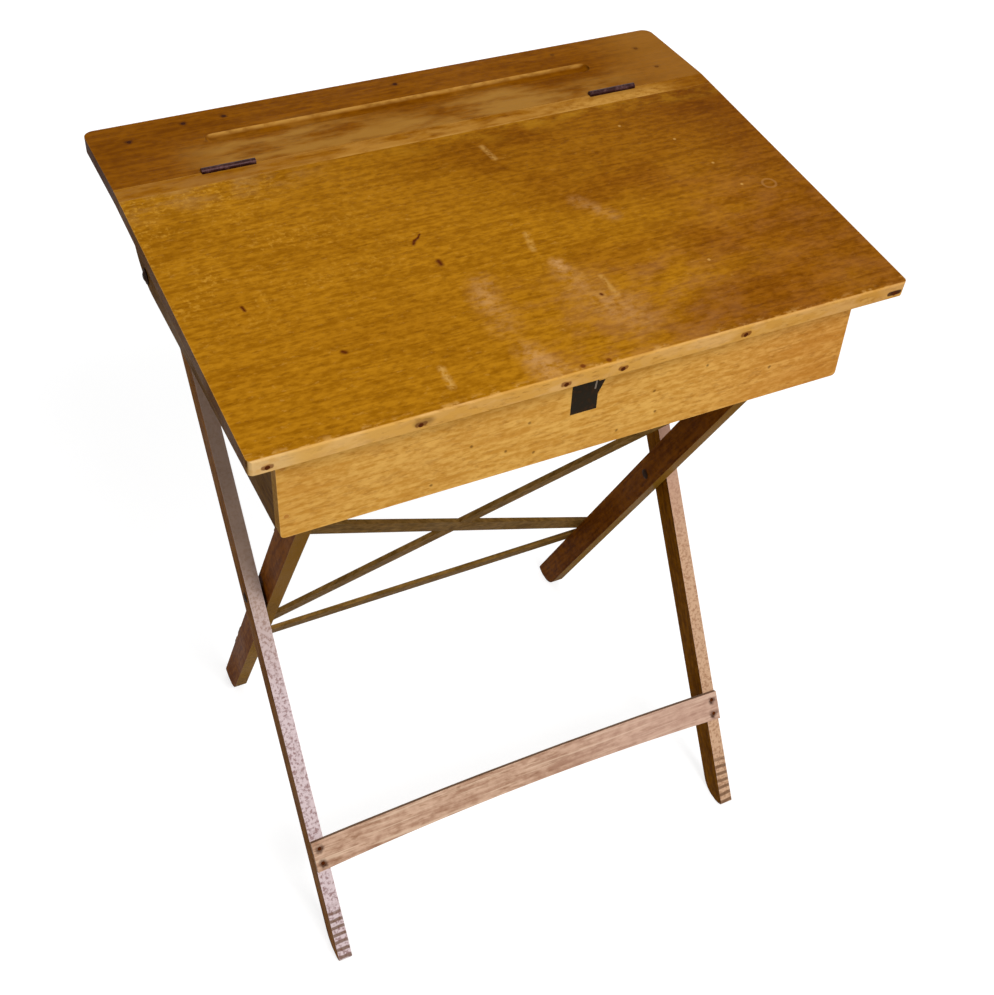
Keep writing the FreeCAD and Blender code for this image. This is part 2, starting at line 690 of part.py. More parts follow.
side_corners = [("fits.panel_back", "fits.skirt_height"), ("fits.box_rear", "fits.skirt_height"),
                ("fits.box_rear", "fits.rail_under"), ("fits.seam_y", "fits.rail_under"),
                ("fits.seam_y", "fits.lid_seat"), ("fits.panel_back", "fits.panel_back_top")]
for side, sign in SIDES.items():
    face = mirrored_x(sign, "fits.wall_in", "fits.wall_out")
    side_body, side_pad = board(side + "_side", "box", side_corners, face, "sizes.wall_thickness")
    round_edges(side_body, side_pad, "sizes.side_corner_radius", X_AXIS,
                vector("0", "fits.box_rear", "fits.skirt_height"))
    pivot_hole = rod(side + "_pivot_hole", face, "fits.pivot_y", "fits.pivot_height",
                     "sizes.wall_thickness", "sizes.pivot_diameter / 2")
    keep(side + "_side_panel", subtract(side_body, bottom_body, pivot_hole, rail_nails, panel_nails))

# Leg pivots: pins with a flat head sunk in the leg, a spacer, and a washer and low dome outside the box

head_start = "fits.outer_leg_in + sizes.side_clearance"
head_end = f"{head_start} + sizes.pivot_head_thickness"
washer_end = "fits.wall_out + sizes.washer_thickness"
pivot = ("fits.pivot_y", "fits.pivot_height")
snug_pivot = "sizes.pivot_diameter / 2"


def dome(name, sign, outward, place, y, z, base_radius, tip_radius, height):
    """A low coned head that stands out along X from a face at a distance from the middle plane."""
    cone = doc.addObject("Part::Cone", name)
    cone.Placement = FreeCAD.Placement(FreeCAD.Vector(), FreeCAD.Rotation(Y_AXIS, 90 * sign * outward))
    bind(cone, Radius1=base_radius, Radius2=tip_radius, Height=height)
    bind_base(cone, f"{sign} * ({place})", y, z)
    return cone


spacers = []
washers = []
for side, sign in SIDES.items():
    head = rod(side + "_pivot_head", mirrored_x(sign, head_start, head_end), *pivot,
               "sizes.pivot_head_thickness", "sizes.pivot_head_diameter / 2")
    shank = rod(side + "_pivot_shank", mirrored_x(sign, head_start, washer_end), *pivot,
                f"{washer_end} - ({head_start})", snug_pivot)
    end = dome(side + "_pivot_dome", sign, 1, washer_end, *pivot,
               "sizes.pivot_head_diameter / 2", snug_pivot, "sizes.pivot_dome_height")
    keep(side + "_leg_pivot", unite(side + "_pivot", head, shank, end))
    spacers.append(collar(side + "_spacer", sign, "fits.outer_leg_out + sizes.side_clearance",
                          "fits.wall_in", *pivot, "sizes.spacer_diameter / 2", snug_pivot))
    washers.append(collar(side + "_washer", sign, "fits.wall_out", washer_end,
                          *pivot, "sizes.washer_diameter / 2", snug_pivot))
group("leg_spacers", spacers)
group("leg_pivot_washers", washers)

# Legs: a batten with a rounded top, a rounded heel and toe, and flats where the feet stand

floor_low = ("-sizes.top_width", "-sizes.top_depth", "-sizes.leg_width")
floor_cut = block("floor_cut", floor_low, ("sizes.top_width", "sizes.top_depth", "0"))


def leg(side, sign, frame, heel_sign, reach, lower, low, high, holes):
    """A leg upright in its own frame, with the crossing rivet at the origin."""
    half = "sizes.leg_width / 2"
    body = new_body(f"{side}_{frame}_leg", frame, mirrored_x(sign, low, high))
    sketch = new_sketch(body, "YZ_Plane")
    front_low, rear_low = vector(f"-{half}", f"-{lower}", "0"), vector(half, f"-{lower}", "0")
    front_high, rear_high = vector(f"-{half}", reach, "0"), vector(half, reach, "0")
    crown = vector("0", f"{reach} + {half}", "0")
    foot = sketch.addGeometry(Part.LineSegment(front_low, rear_low), False)
    rear = sketch.addGeometry(Part.LineSegment(rear_low, rear_high), False)
    cap = sketch.addGeometry(Part.Arc(rear_high, crown, front_high), False)
    front = sketch.addGeometry(Part.LineSegment(front_high, front_low), False)
    sketch.addConstraint([
        Sketcher.Constraint("Coincident", foot, 2, rear, 1),
        Sketcher.Constraint("Coincident", front, 2, foot, 1),
        Sketcher.Constraint("Horizontal", foot),
        Sketcher.Constraint("Vertical", rear),
        Sketcher.Constraint("Vertical", front),
        Sketcher.Constraint("Tangent", rear, 2, cap, 1),
        Sketcher.Constraint("Tangent", cap, 2, front, 1),
    ])
    fix_point(sketch, cap, 3, "0", reach)
    set_radius(sketch, cap, half)
    measure(sketch, "DistanceY", foot, 1, f"-{lower}")
    for up, radius in holes:
        draw_hole(sketch, up, radius)
    feature = pad(body, sketch, "sizes.leg_thickness")
    heel = vector("0", f"{heel_sign} * {half}", f"-{lower}")
    toe = vector("0", f"{-heel_sign} * {half}", f"-{lower}")
    heeled = round_edges(body, feature, "sizes.heel_radius", X_AXIS, heel)
    round_edges(body, heeled, "sizes.toe_radius", X_AXIS, toe)
    return body


snug_rivet = "sizes.rivet_diameter / 2"
running_rivet = "sizes.rivet_diameter / 2 + sizes.running_clearance"
running_pivot = "sizes.pivot_diameter / 2 + sizes.running_clearance"
for side, sign in SIDES.items():
    outer = leg(side, sign, "outer", 1, "sizes.outer_leg_reach", "fits.outer_lower", "fits.outer_leg_in",
                "fits.outer_leg_out", [("0", snug_rivet), ("sizes.outer_leg_reach", running_pivot)])
    sink_end = f"{head_end} + sizes.side_clearance"
    sink = rod(side + "_pivot_sink", mirrored_x(sign, "fits.outer_leg_in", sink_end), *pivot,
               f"{sink_end} - fits.outer_leg_in", "sizes.pivot_head_diameter / 2 + sizes.side_clearance")
    keep(side + "_outer_leg", subtract(outer, floor_cut, sink, stretcher_nails))
    inner = leg(side, sign, "inner", -1, "sizes.inner_leg_reach", "fits.inner_lower", "fits.inner_leg_in",
                "fits.inner_leg_out", [("0", running_rivet)])
    keep(side + "_inner_leg", subtract(inner, floor_cut, brace_nails))

# Rivets and washers at the crossing, fast in the outer legs

rivets = []
cross_washers = []
cross = ("fits.cross_y", "fits.cross_z")
for side, sign in SIDES.items():
    inner_head = "fits.inner_leg_in - sizes.side_clearance"
    shank_x = mirrored_x(sign, inner_head, "fits.outer_leg_out")
    shank = rod(side + "_rivet_shank", shank_x, *cross, f"fits.outer_leg_out - ({inner_head})", snug_rivet)
    heads = []
    for place, outward in ((inner_head, -1), ("fits.outer_leg_out", 1)):
        heads.append(dome(side + "_rivet_head", sign, outward, place, *cross,
                          "sizes.rivet_head_diameter / 2", snug_rivet, "sizes.rivet_head_height"))
    rivets.append(unite(side + "_rivet", shank, *heads))
    cross_washers.append(collar(side + "_cross_washer", sign, "fits.inner_leg_out + sizes.side_clearance",
                                "fits.outer_leg_in", *cross, "sizes.washer_diameter / 2", snug_rivet))
group("crossing_rivets", rivets)
group("crossing_washers", cross_washers)

# Stretcher nailed on the front edges of the outer legs, its long edges bowed upwards

stretcher_body = new_body("stretcher", "outer")
stretcher_sketch = new_sketch(stretcher_body, "XZ_Plane", "sizes.leg_width / 2")


def bowed_edge(up, bow):
    """An arc across the stretcher from right to left."""
    right, left = vector("fits.outer_leg_out", up, "0"), vector("-fits.outer_leg_out", up, "0")
    return Part.Arc(right, vector("0", f"{up} + {bow}", "0"), left)


right_low = vector("fits.outer_leg_out", "fits.stretcher_low", "0")
right_high = vector("fits.outer_leg_out", "fits.stretcher_high", "0")
left_low = vector("-fits.outer_leg_out", "fits.stretcher_low", "0")
left_high = vector("-fits.outer_leg_out", "fits.stretcher_high", "0")
right_end = stretcher_sketch.addGeometry(Part.LineSegment(right_low, right_high), False)
top_bow = stretcher_sketch.addGeometry(bowed_edge("fits.stretcher_high", "sizes.stretcher_top_bow"), False)
left_end = stretcher_sketch.addGeometry(Part.LineSegment(left_high, left_low), False)
foot_bow = stretcher_sketch.addGeometry(bowed_edge("fits.stretcher_low", "sizes.stretcher_foot_bow"), False)
stretcher_sketch.addConstraint([
    Sketcher.Constraint("Coincident", right_end, 2, top_bow, 1),
    Sketcher.Constraint("Coincident", top_bow, 2, left_end, 1),
    Sketcher.Constraint("Coincident", left_end, 2, foot_bow, 2),
    Sketcher.Constraint("Coincident", foot_bow, 1, right_end, 1),
])
fix_point(stretcher_sketch, right_end, 1, "fits.outer_leg_out", "fits.stretcher_low")
fix_point(stretcher_sketch, right_end, 2, "fits.outer_leg_out", "fits.stretcher_high")
fix_point(stretcher_sketch, top_bow, 3, "0",
          "fits.stretcher_high + sizes.stretcher_top_bow - fits.top_bow_radius")
fix_point(stretcher_sketch, foot_bow, 3, "0",
          "fits.stretcher_low + sizes.stretcher_foot_bow - fits.foot_bow_radius")
for point in (1, 2):
    measure(stretcher_sketch, "DistanceX", left_end, point, "-fits.outer_leg_out")
pad(stretcher_body, stretcher_sketch, "sizes.stretcher_thickness")
keep("front_stretcher", subtract(stretcher_body, stretcher_nails))

# Crossed braces and lower rail nailed on the rear edges of the inner legs


def slat(name, left_up, right_up, half_end):
    """A slat with upright ends short of the legs' outer faces, given the heights of its middle there."""
    body = new_body(name, "inner")
    sketch = new_sketch(body, "XZ_Plane", "-sizes.leg_width / 2")
    left, right = "-fits.slat_out", "fits.slat_out"
    draw_outline(sketch, [(left, f"{left_up} - {half_end}"), (right, f"{right_up} - {half_end}"),
                          (right, f"{right_up} + {half_end}"), (left, f"{left_up} + {half_end}")])
    pad(body, sketch, "sizes.slat_thickness", backwards=True)
    return body


def lap_half(name, body, near, far):
    """The part of a slat between two depths, which the other slat is notched for."""
    span = new_body(name + "_span", "inner")
    sketch = new_sketch(span, "YZ_Plane", "-fits.inner_leg_out")
    draw_outline(sketch, rectangle(near, "fits.brace_low", far, "fits.brace_high"))
    pad(span, sketch, "2 * fits.inner_leg_out")
    return overlap(name, body, span)


rising_body = slat("rising_brace", "fits.brace_low", "fits.brace_high", "fits.brace_half_end")
falling_body = slat("falling_brace", "fits.brace_high", "fits.brace_low", "fits.brace_half_end")
slat_near, slat_far = "sizes.leg_width / 2", "sizes.leg_width / 2 + sizes.slat_thickness"
slat_middle = "sizes.leg_width / 2 + sizes.slat_thickness / 2"
rising_notch = lap_half("rising_notch", falling_body, slat_near, slat_middle)
falling_notch = lap_half("falling_notch", rising_body, slat_middle, slat_far)
keep("rising_brace", subtract(rising_body, rising_notch, brace_nails))
keep("falling_brace", subtract(falling_body, falling_notch, brace_nails))
rail_middle = "fits.lower_rail_low + sizes.slat_width / 2"
lower_body = slat("lower_rail", rail_middle, rail_middle, "sizes.slat_width / 2")
keep("lower_rail", subtract(lower_body, brace_nails))

# Check every object, then write each piece

doc.recompute()
for item in doc.Objects:
    if "Invalid" in item.State or "Error" in item.State:
        raise RuntimeError(f"{item.Name} failed: {item.State}")
os.makedirs("parts", exist_ok=True)
for label, item in nodes.items():
    if item.Shape.isNull() or not item.Shape.isValid() or not item.Shape.Solids:
        raise RuntimeError(f"{label} has no valid solid")
for label, item in nodes.items():
    item.Shape.exportStep(f"parts/{label}.step")
    print(label, len(item.Shape.Solids), round(item.Shape.Volume, 1))
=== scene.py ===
import json
import math

import bmesh
import bpy
from mathutils import Matrix, Vector


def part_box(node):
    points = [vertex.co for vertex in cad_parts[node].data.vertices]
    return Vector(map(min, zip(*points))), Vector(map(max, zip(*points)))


# Looks of the folding school desk. Lengths are in metres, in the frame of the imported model:
# X to the right, Y to the rear and Z up, with the origin on the floor under the middle of the top.

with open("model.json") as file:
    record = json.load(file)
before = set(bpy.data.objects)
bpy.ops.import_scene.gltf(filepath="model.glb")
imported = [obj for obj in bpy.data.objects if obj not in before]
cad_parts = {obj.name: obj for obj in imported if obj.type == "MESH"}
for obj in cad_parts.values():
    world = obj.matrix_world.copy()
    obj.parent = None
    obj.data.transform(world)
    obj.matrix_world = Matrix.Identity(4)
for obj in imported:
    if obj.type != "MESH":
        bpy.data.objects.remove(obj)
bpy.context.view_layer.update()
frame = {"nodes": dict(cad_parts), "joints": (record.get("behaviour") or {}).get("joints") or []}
nodes = frame["nodes"]
joints = {joint["name"]: Vector(joint["pos_m"]) for joint in frame["joints"]}

ACROSS = Vector((1, 0, 0))
REARWARD = Vector((0, 1, 0))
UPWARD = Vector((0, 0, 1))

# Down along the outer legs
OUTER_DOWN = (joints["leg_crossing"] - joints["leg_swing"]).normalized()

# Camera, worked out from the straight edges in the photograph
IMAGE_WIDTH = 994
FOCAL_PIXELS = 1431.6
CAMERA_PLACE = Vector((-0.5043, -0.9880, 1.4467))
CAMERA_YAW = -0.4957
CAMERA_PITCH = -0.7520
CAMERA_ROLL = 0.0595
SENSOR_WIDTH = 36

# Lamps, sky and floor
KEY_PLACE = Vector((0.25, -2.45, 2.85))
LAMP_AIM = Vector((0, 0, 0.55))
KEY_SIZE = 1.5
KEY_POWER = 84
FILL_PLACE = Vector((0.9, 2.7, 1.7))
FILL_SIZE = 2.4
FILL_POWER = 30
SKY_STRENGTH = 0.44
FLOOR_SIZE = 40
FLOOR_GREY = 0.45
FLOOR_GLOW = 0.71
FLOOR_ROUGHNESS = 0.9
WHITE = (1, 1, 1, 1)

# Softened edges of boards and hardware
BOARD_ROUND = 0.0008
SEAM_ROUND = 0.0003
METAL_ROUND = 0.0002
ROUND_STEPS = 2
SHARP_ANGLE = math.radians(35)
FLAT_ANGLE = math.radians(0.5)
WELD_DISTANCE = 1e-5

# How far worn edges reach into a face
WOOD_WEAR = 0.0015
METAL_WEAR = 0.0006

# Depth of the surface's bump and its strength, and the gleam of the worn varnish
BUMP_DEPTH = 0.0004
WOOD_BUMP = 0.3
METAL_BUMP = 0.15
VARNISH_GLEAM = 0.012

# Pale strokes on the lid: two ends, as places across and along it, the width and the strength
LID_SCUFFS = (
    ((0.0777, -0.0276), (0.0985, -0.0566), 0.013, 0.34),
    ((0.0203, -0.0985), (0.0220, -0.1062), 0.010, 0.7),
    ((0.0195, -0.1110), (0.0272, -0.1292), 0.018, 0.3),
    ((0.0210, -0.1408), (0.0397, -0.1626), 0.036, 0.2),
    ((0.0397, -0.1626), (0.0525, -0.1875), 0.030, 0.28),
    ((-0.0517, -0.1032), (-0.0581, -0.1195), 0.020, 0.36),
    ((-0.0581, -0.1195), (-0.0558, -0.1368), 0.016, 0.16),
    ((-0.0558, -0.1368), (-0.0578, -0.1570), 0.024, 0.24),
    ((-0.0534, -0.1897), (-0.0518, -0.2226), 0.018, 0.4),
    ((-0.0479, -0.2018), (-0.0382, -0.2178), 0.016, 0.4),
)
LID_SCRATCHES = (
    ((0.0331, 0.0758), (0.0363, 0.0547), 0.0046, 0.5),
    ((0.0138, -0.0548), (0.0090, -0.0769), 0.0050, 0.45),
    ((0.0480, -0.1283), (0.0494, -0.1539), 0.0040, 0.4),
    ((-0.1264, -0.1852), (-0.1274, -0.2073), 0.0052, 0.65),
)

# Dark cuts in the lid: two ends and the width, with the depth in heights of the bump
LID_CUTS = (
    ((-0.0745, -0.0246), (-0.0779, -0.0288), 0.0018),
    ((-0.0779, -0.0288), (-0.0819, -0.0309), 0.0022),
    ((-0.0819, -0.0309), (-0.0848, -0.0354), 0.0026),
    ((-0.0739, -0.0630), (-0.0736, -0.0680), 0.0044),
    ((-0.2473, -0.0632), (-0.2465, -0.0680), 0.0027),
    ((-0.1914, -0.1402), (-0.1896, -0.1417), 0.0036),
    ((0.0366, -0.1492), (0.0370, -0.1500), 0.0029),
)
LID_CUT_DEPTH = 3.0

# Pale specks, a faint ring and two dark nail marks on the lid, with the core and reach of a spot
LID_SPECKS = ((0.1736, 0.0643), (0.2138, 0.0280), (0.2289, -0.0177), (0.2369, -0.0558), (0.1484, -0.1411))
LID_SPECK_SIZE = (0.0008, 0.002)
LID_RING = (0.2624, -0.0630)
LID_RING_RADIUS = 0.0065
LID_RING_LINE = (0.0004, 0.0018)
LID_NAIL_MARKS = ((-0.0198, -0.2223), (0.0033, -0.2234))
LID_NAIL_MARK_SIZE = (0.0012, 0.0034)

# How near to the outline of the lid its edges are rubbed pale, and how far chips reach from the front
RIM_REACH = (0.003, 0.006)
CHIP_REACH = 0.008

# Stains of the nails in the lid's front edge: half their length along the grain, and their width
NAIL_STAIN = 0.0026
NAIL_STAIN_WIDTH = 0.004
NAIL_STAIN_WANDER = 0.003

# A knot beside the second of those nails, from the nail, and a gouge beside the last, as places across
KNOT_START, KNOT_END = -0.002, 0.007
KNOT_RISE = 0.002
KNOT_WIDTH = 0.007
GOUGE_START, GOUGE_END = 0.283, 0.2935
GOUGE_WIDTH = 0.0042
GOUGE_DEPTH = 4.0

# How finely the outlines of stains wander, in cycles to the metre
DRIFT_SCALE = 160

# Shares of the streaks, fine lines and mottling in the grain of most boards and of the lid
GRAIN_SHARES = (0.28, 0.34, 0.38)
LID_SHARES = (0.14, 0.36, 0.5)

# Cycles to the metre of the parts of the grain, along and across it
STREAKS = (5, 130, 130)
FINE_LINES = (20, 280, 280)
CLOUDS = (7, 12, 12)
BARE_STREAKS = (4, 70, 70)
COARSE_MOTTLE = (100, 160, 160)
FINE_MOTTLE = (120, 220, 220)
FINEST_MOTTLE = (130, 320, 320)
LONG_FLECKS = (60, 300, 300)
SHORT_FLECKS = (110, 320, 320)

# Where along the rail the nails have become faint, and over what length
FAINT_NAILS_FROM = 0.1
FAINT_NAILS_BLEND = 0.1

# How far behind the lid's seam the rail is worn hazy, and how much that limit wanders
RAIL_HAZE = (0.02, 0.06)
RAIL_HAZE_WANDER = 0.02

# How far from the rail's middle line a turned face belongs to the pen groove, and past which none does;
# there the groove's walls get painted highlight and painted shade
GROOVE_BAND = (0.03, 0.035)

# How far behind its front edge the strip is speckled, and how far it is rubbed
STRIP_SPECKLE = (0.006, 0.018)
STRIP_RUBBED = 0.004

# Dark bands across the feet: spacing, wander, and how far from the foot they begin and are full
FOOT_BAND = 0.0088
FOOT_BAND_WANDER = 0.004
FOOT_BANDS_BEGIN, FOOT_BANDS_FULL = 0.078, 0.056

# Heights between which the front of a leg turns to its shaded colour, a painted shadow of the top over the
# upper leg
LEG_SHADE = (0.25, 0.43)

# Small dark specks on the front panel, as places across and up
PANEL_SPECKS = (
    (-0.104, 0.674), (-0.072, 0.658), (0.122, 0.690), (0.070, 0.678), (0.191, 0.667),
    (-0.051, 0.682), (-0.045, 0.648), (-0.140, 0.644), (0.074, 0.654), (0.036, 0.645),
)

# A pale scratch beside the ear of the plate, as the places across and up of its ends
PLATE_SCRATCH = ((0.0102, 0.7078), (0.0094, 0.7006))
PLATE_SCRATCH_WIDTH = 0.0013


def tone(red, green, blue):
    """A colour given by its screen values from 0 to 255, as linear light."""
    linear = []
    for value in (red, green, blue):
        share = value / 255
        linear.append(share / 12.92 if share <= 0.04045 else ((share + 0.055) / 1.055) ** 2.4)
    return (*linear, 1)


# Colours used in more than one place
RUST = tone(54, 22, 8)
NAIL_RUST = tone(104, 46, 10)
SCUFF = tone(204, 154, 96)
PALE_SCRATCH = tone(206, 158, 82)
BARE_DARK = tone(138, 98, 54)
BARE_LIGHT = tone(176, 132, 80)

# Shares that a colour is multiplied by, to darken it and change its hue
FLECK_SHARE = (0.6, 0.5, 0.4, 1)
CLOUD_SHARE = (0.62, 0.5, 0.4, 1)
END_GRAIN_SHARE = (0.3, 0.26, 0.24, 1)
OLIVE_SHARE = (0.62, 0.56, 0.3, 1)
PATCH_SHARE = (0.92, 0.9, 0.74, 1)
RUSSET_SHARE = (0.64, 0.5, 0.5, 1)
LID_REAR_SHARE = (0.58, 0.44, 0.0, 1)
LID_RIGHT_SHARE = (0.86, 0.86, 0.9, 1)
FRONT_EDGE_SHARE = (0.78, 0.68, 0.55, 1)
STRIP_END_SHARE = (0.76, 0.68, 0.45, 1)
PANEL_RIGHT_SHARE = (0.91, 0.8, 0.78, 1)


# Node materials

def feed(tree, socket, value):
    """Links a socket to an output, or sets its value."""
    if isinstance(value, bpy.types.NodeSocket):
        tree.links.new(value, socket)
    else:
        socket.default_value = value


def math_node(tree, operation, *values):
    """Adds a math node and returns its output."""
    node = tree.nodes.new("ShaderNodeMath")
    node.operation = operation
    for socket, value in zip(node.inputs, values):
        feed(tree, socket, value)
    return node.outputs["Value"]


class Shader:
    """One node material. Most methods add nodes and return an output socket."""

    def __init__(self, name):
        self.material = bpy.data.materials.new(name)
        self.material.use_nodes = True
        self.tree = self.material.node_tree
        self.tree.nodes.clear()
        self.surface = self.add("ShaderNodeBsdfPrincipled")
        output = self.add("ShaderNodeOutputMaterial")
        self.tree.links.new(self.surface.outputs["BSDF"], output.inputs["Surface"])
        coordinates = self.add("ShaderNodeTexCoord")
        self.place = coordinates.outputs["Object"]
        self.facing = coordinates.outputs["Normal"]

    def add(self, kind, **settings):
        node = self.tree.nodes.new(kind)
        for name, value in settings.items():
            setattr(node, name, value)
        return node

    def feed(self, socket, value):
        feed(self.tree, socket, value)

    def math(self, operation, *values):
        return math_node(self.tree, operation, *values)

    def vector(self, operation, first, second, output="Vector"):
        node = self.add("ShaderNodeVectorMath", operation=operation)
        self.feed(node.inputs[0], first)
        self.feed(node.inputs["Scale" if operation == "SCALE" else 1], second)
        return node.outputs[output]

    def along(self, vector, direction):
        """How far a vector reaches along a direction."""
        return self.vector("DOT_PRODUCT", vector, tuple(direction), "Value")

    def turned(self, grain, shift):
        """The place in a frame whose X runs along the grain, shifted so that no two boards are alike."""
        node = self.add("ShaderNodeMapping")
        node.inputs["Rotation"].default_value = grain.normalized().rotation_difference(ACROSS).to_euler()
        node.inputs["Location"].default_value = (shift, shift, shift)
        self.feed(node.inputs["Vector"], self.place)
        return node.outputs["Vector"]

    def noise(self, vector, scale, detail=3.0, roughness=0.55, distortion=0.0):
        """Noise from 0 to 1, with a scale in cycles to the metre along each axis."""
        node = self.add("ShaderNodeTexNoise")
        self.feed(node.inputs["Vector"], self.vector("MULTIPLY", vector, scale))
        node.inputs["Scale"].default_value = 1
        node.inputs["Detail"].default_value = detail
        node.inputs["Roughness"].default_value = roughness
        node.inputs["Distortion"].default_value = distortion
        return node.outputs["Fac"]

    def spread(self, value, low, high, to_low=0.0, to_high=1.0):
        """Maps a range smoothly to another, and holds it at the ends."""
        node = self.add("ShaderNodeMapRange", interpolation_type="SMOOTHSTEP")
        for name, number in (("Value", value), ("From Min", low), ("From Max", high),
                             ("To Min", to_low), ("To Max", to_high)):
            self.feed(node.inputs[name], number)
        return node.outputs["Result"]

    def fade(self, value, low, high):
        """1 up to the low value, falling to 0 at the high one."""
        return self.spread(value, low, high, 1.0, 0.0)

    def spots(self, vector, scale, low, high, detail=3.0, roughness=0.55, least=0.0, most=1.0):
        """Noise cut into spots: the least where it is under the low value, the most over the high one."""
        return self.spread(self.noise(vector, scale, detail, roughness), low, high, least, most)

    def meet(self, first, *others):
        """Where all of some masks meet."""
        for other in others:
            first = self.math("MULTIPLY", first, other)
        return first

    def mix(self, factor, first, second, blend="MIX"):
        node = self.add("ShaderNodeMix", data_type="RGBA", blend_type=blend)
        self.feed(node.inputs["Factor"], factor)
        under, over = (socket for socket in node.inputs if socket.type == "RGBA")
        self.feed(under, first)
        self.feed(over, second)
        return next(socket for socket in node.outputs if socket.type == "RGBA")

    def near(self, place, points, core, reach):
        """1 within the core of any of the points, falling to 0 at the reach."""
        found = None
        for point in points:
            distance = self.vector("DISTANCE", place, point, "Value")
            found = distance if found is None else self.math("MINIMUM", found, distance)
        return self.fade(found, core, reach)

    def stroke(self, place, start, end, width):
        """1 along the line between two points, falling to 0 at the width away."""
        line = Vector(end) - Vector(start)
        offset = self.vector("SUBTRACT", place, start)
        share = self.along(offset, line / line.length_squared)
        held = self.math("MINIMUM", self.math("MAXIMUM", share, 0.0), 1.0)
        nearest = self.vector("SCALE", tuple(line), held)
        distance = self.vector("DISTANCE", offset, nearest, "Value")
        return self.fade(distance, 0.0, width)

    def edge(self, radius):
        """1 at edges, 0 on flat faces."""
        bevel = self.add("ShaderNodeBevel", samples=4)
        bevel.inputs["Radius"].default_value = radius
        normal = self.add("ShaderNodeNewGeometry").outputs["Normal"]
        agreement = self.vector("DOT_PRODUCT", bevel.outputs["Normal"], normal, "Value")
        return self.fade(agreement, 0.8, 0.99)

    def finish(self, colour, roughness, height, bump, specular, metallic=0.0):
        """Joins the colour, roughness and height to the surface, and returns the material."""
        self.feed(self.surface.inputs["Base Color"], colour)
        self.feed(self.surface.inputs["Roughness"], roughness)
        self.surface.inputs["Specular IOR Level"].default_value = specular
        self.surface.inputs["Metallic"].default_value = metallic
        node = self.add("ShaderNodeBump")
        node.inputs["Strength"].default_value = bump
        node.inputs["Distance"].default_value = BUMP_DEPTH
        self.feed(node.inputs["Height"], height)
        self.tree.links.new(node.outputs["Normal"], self.surface.inputs["Normal"])
        return self.material


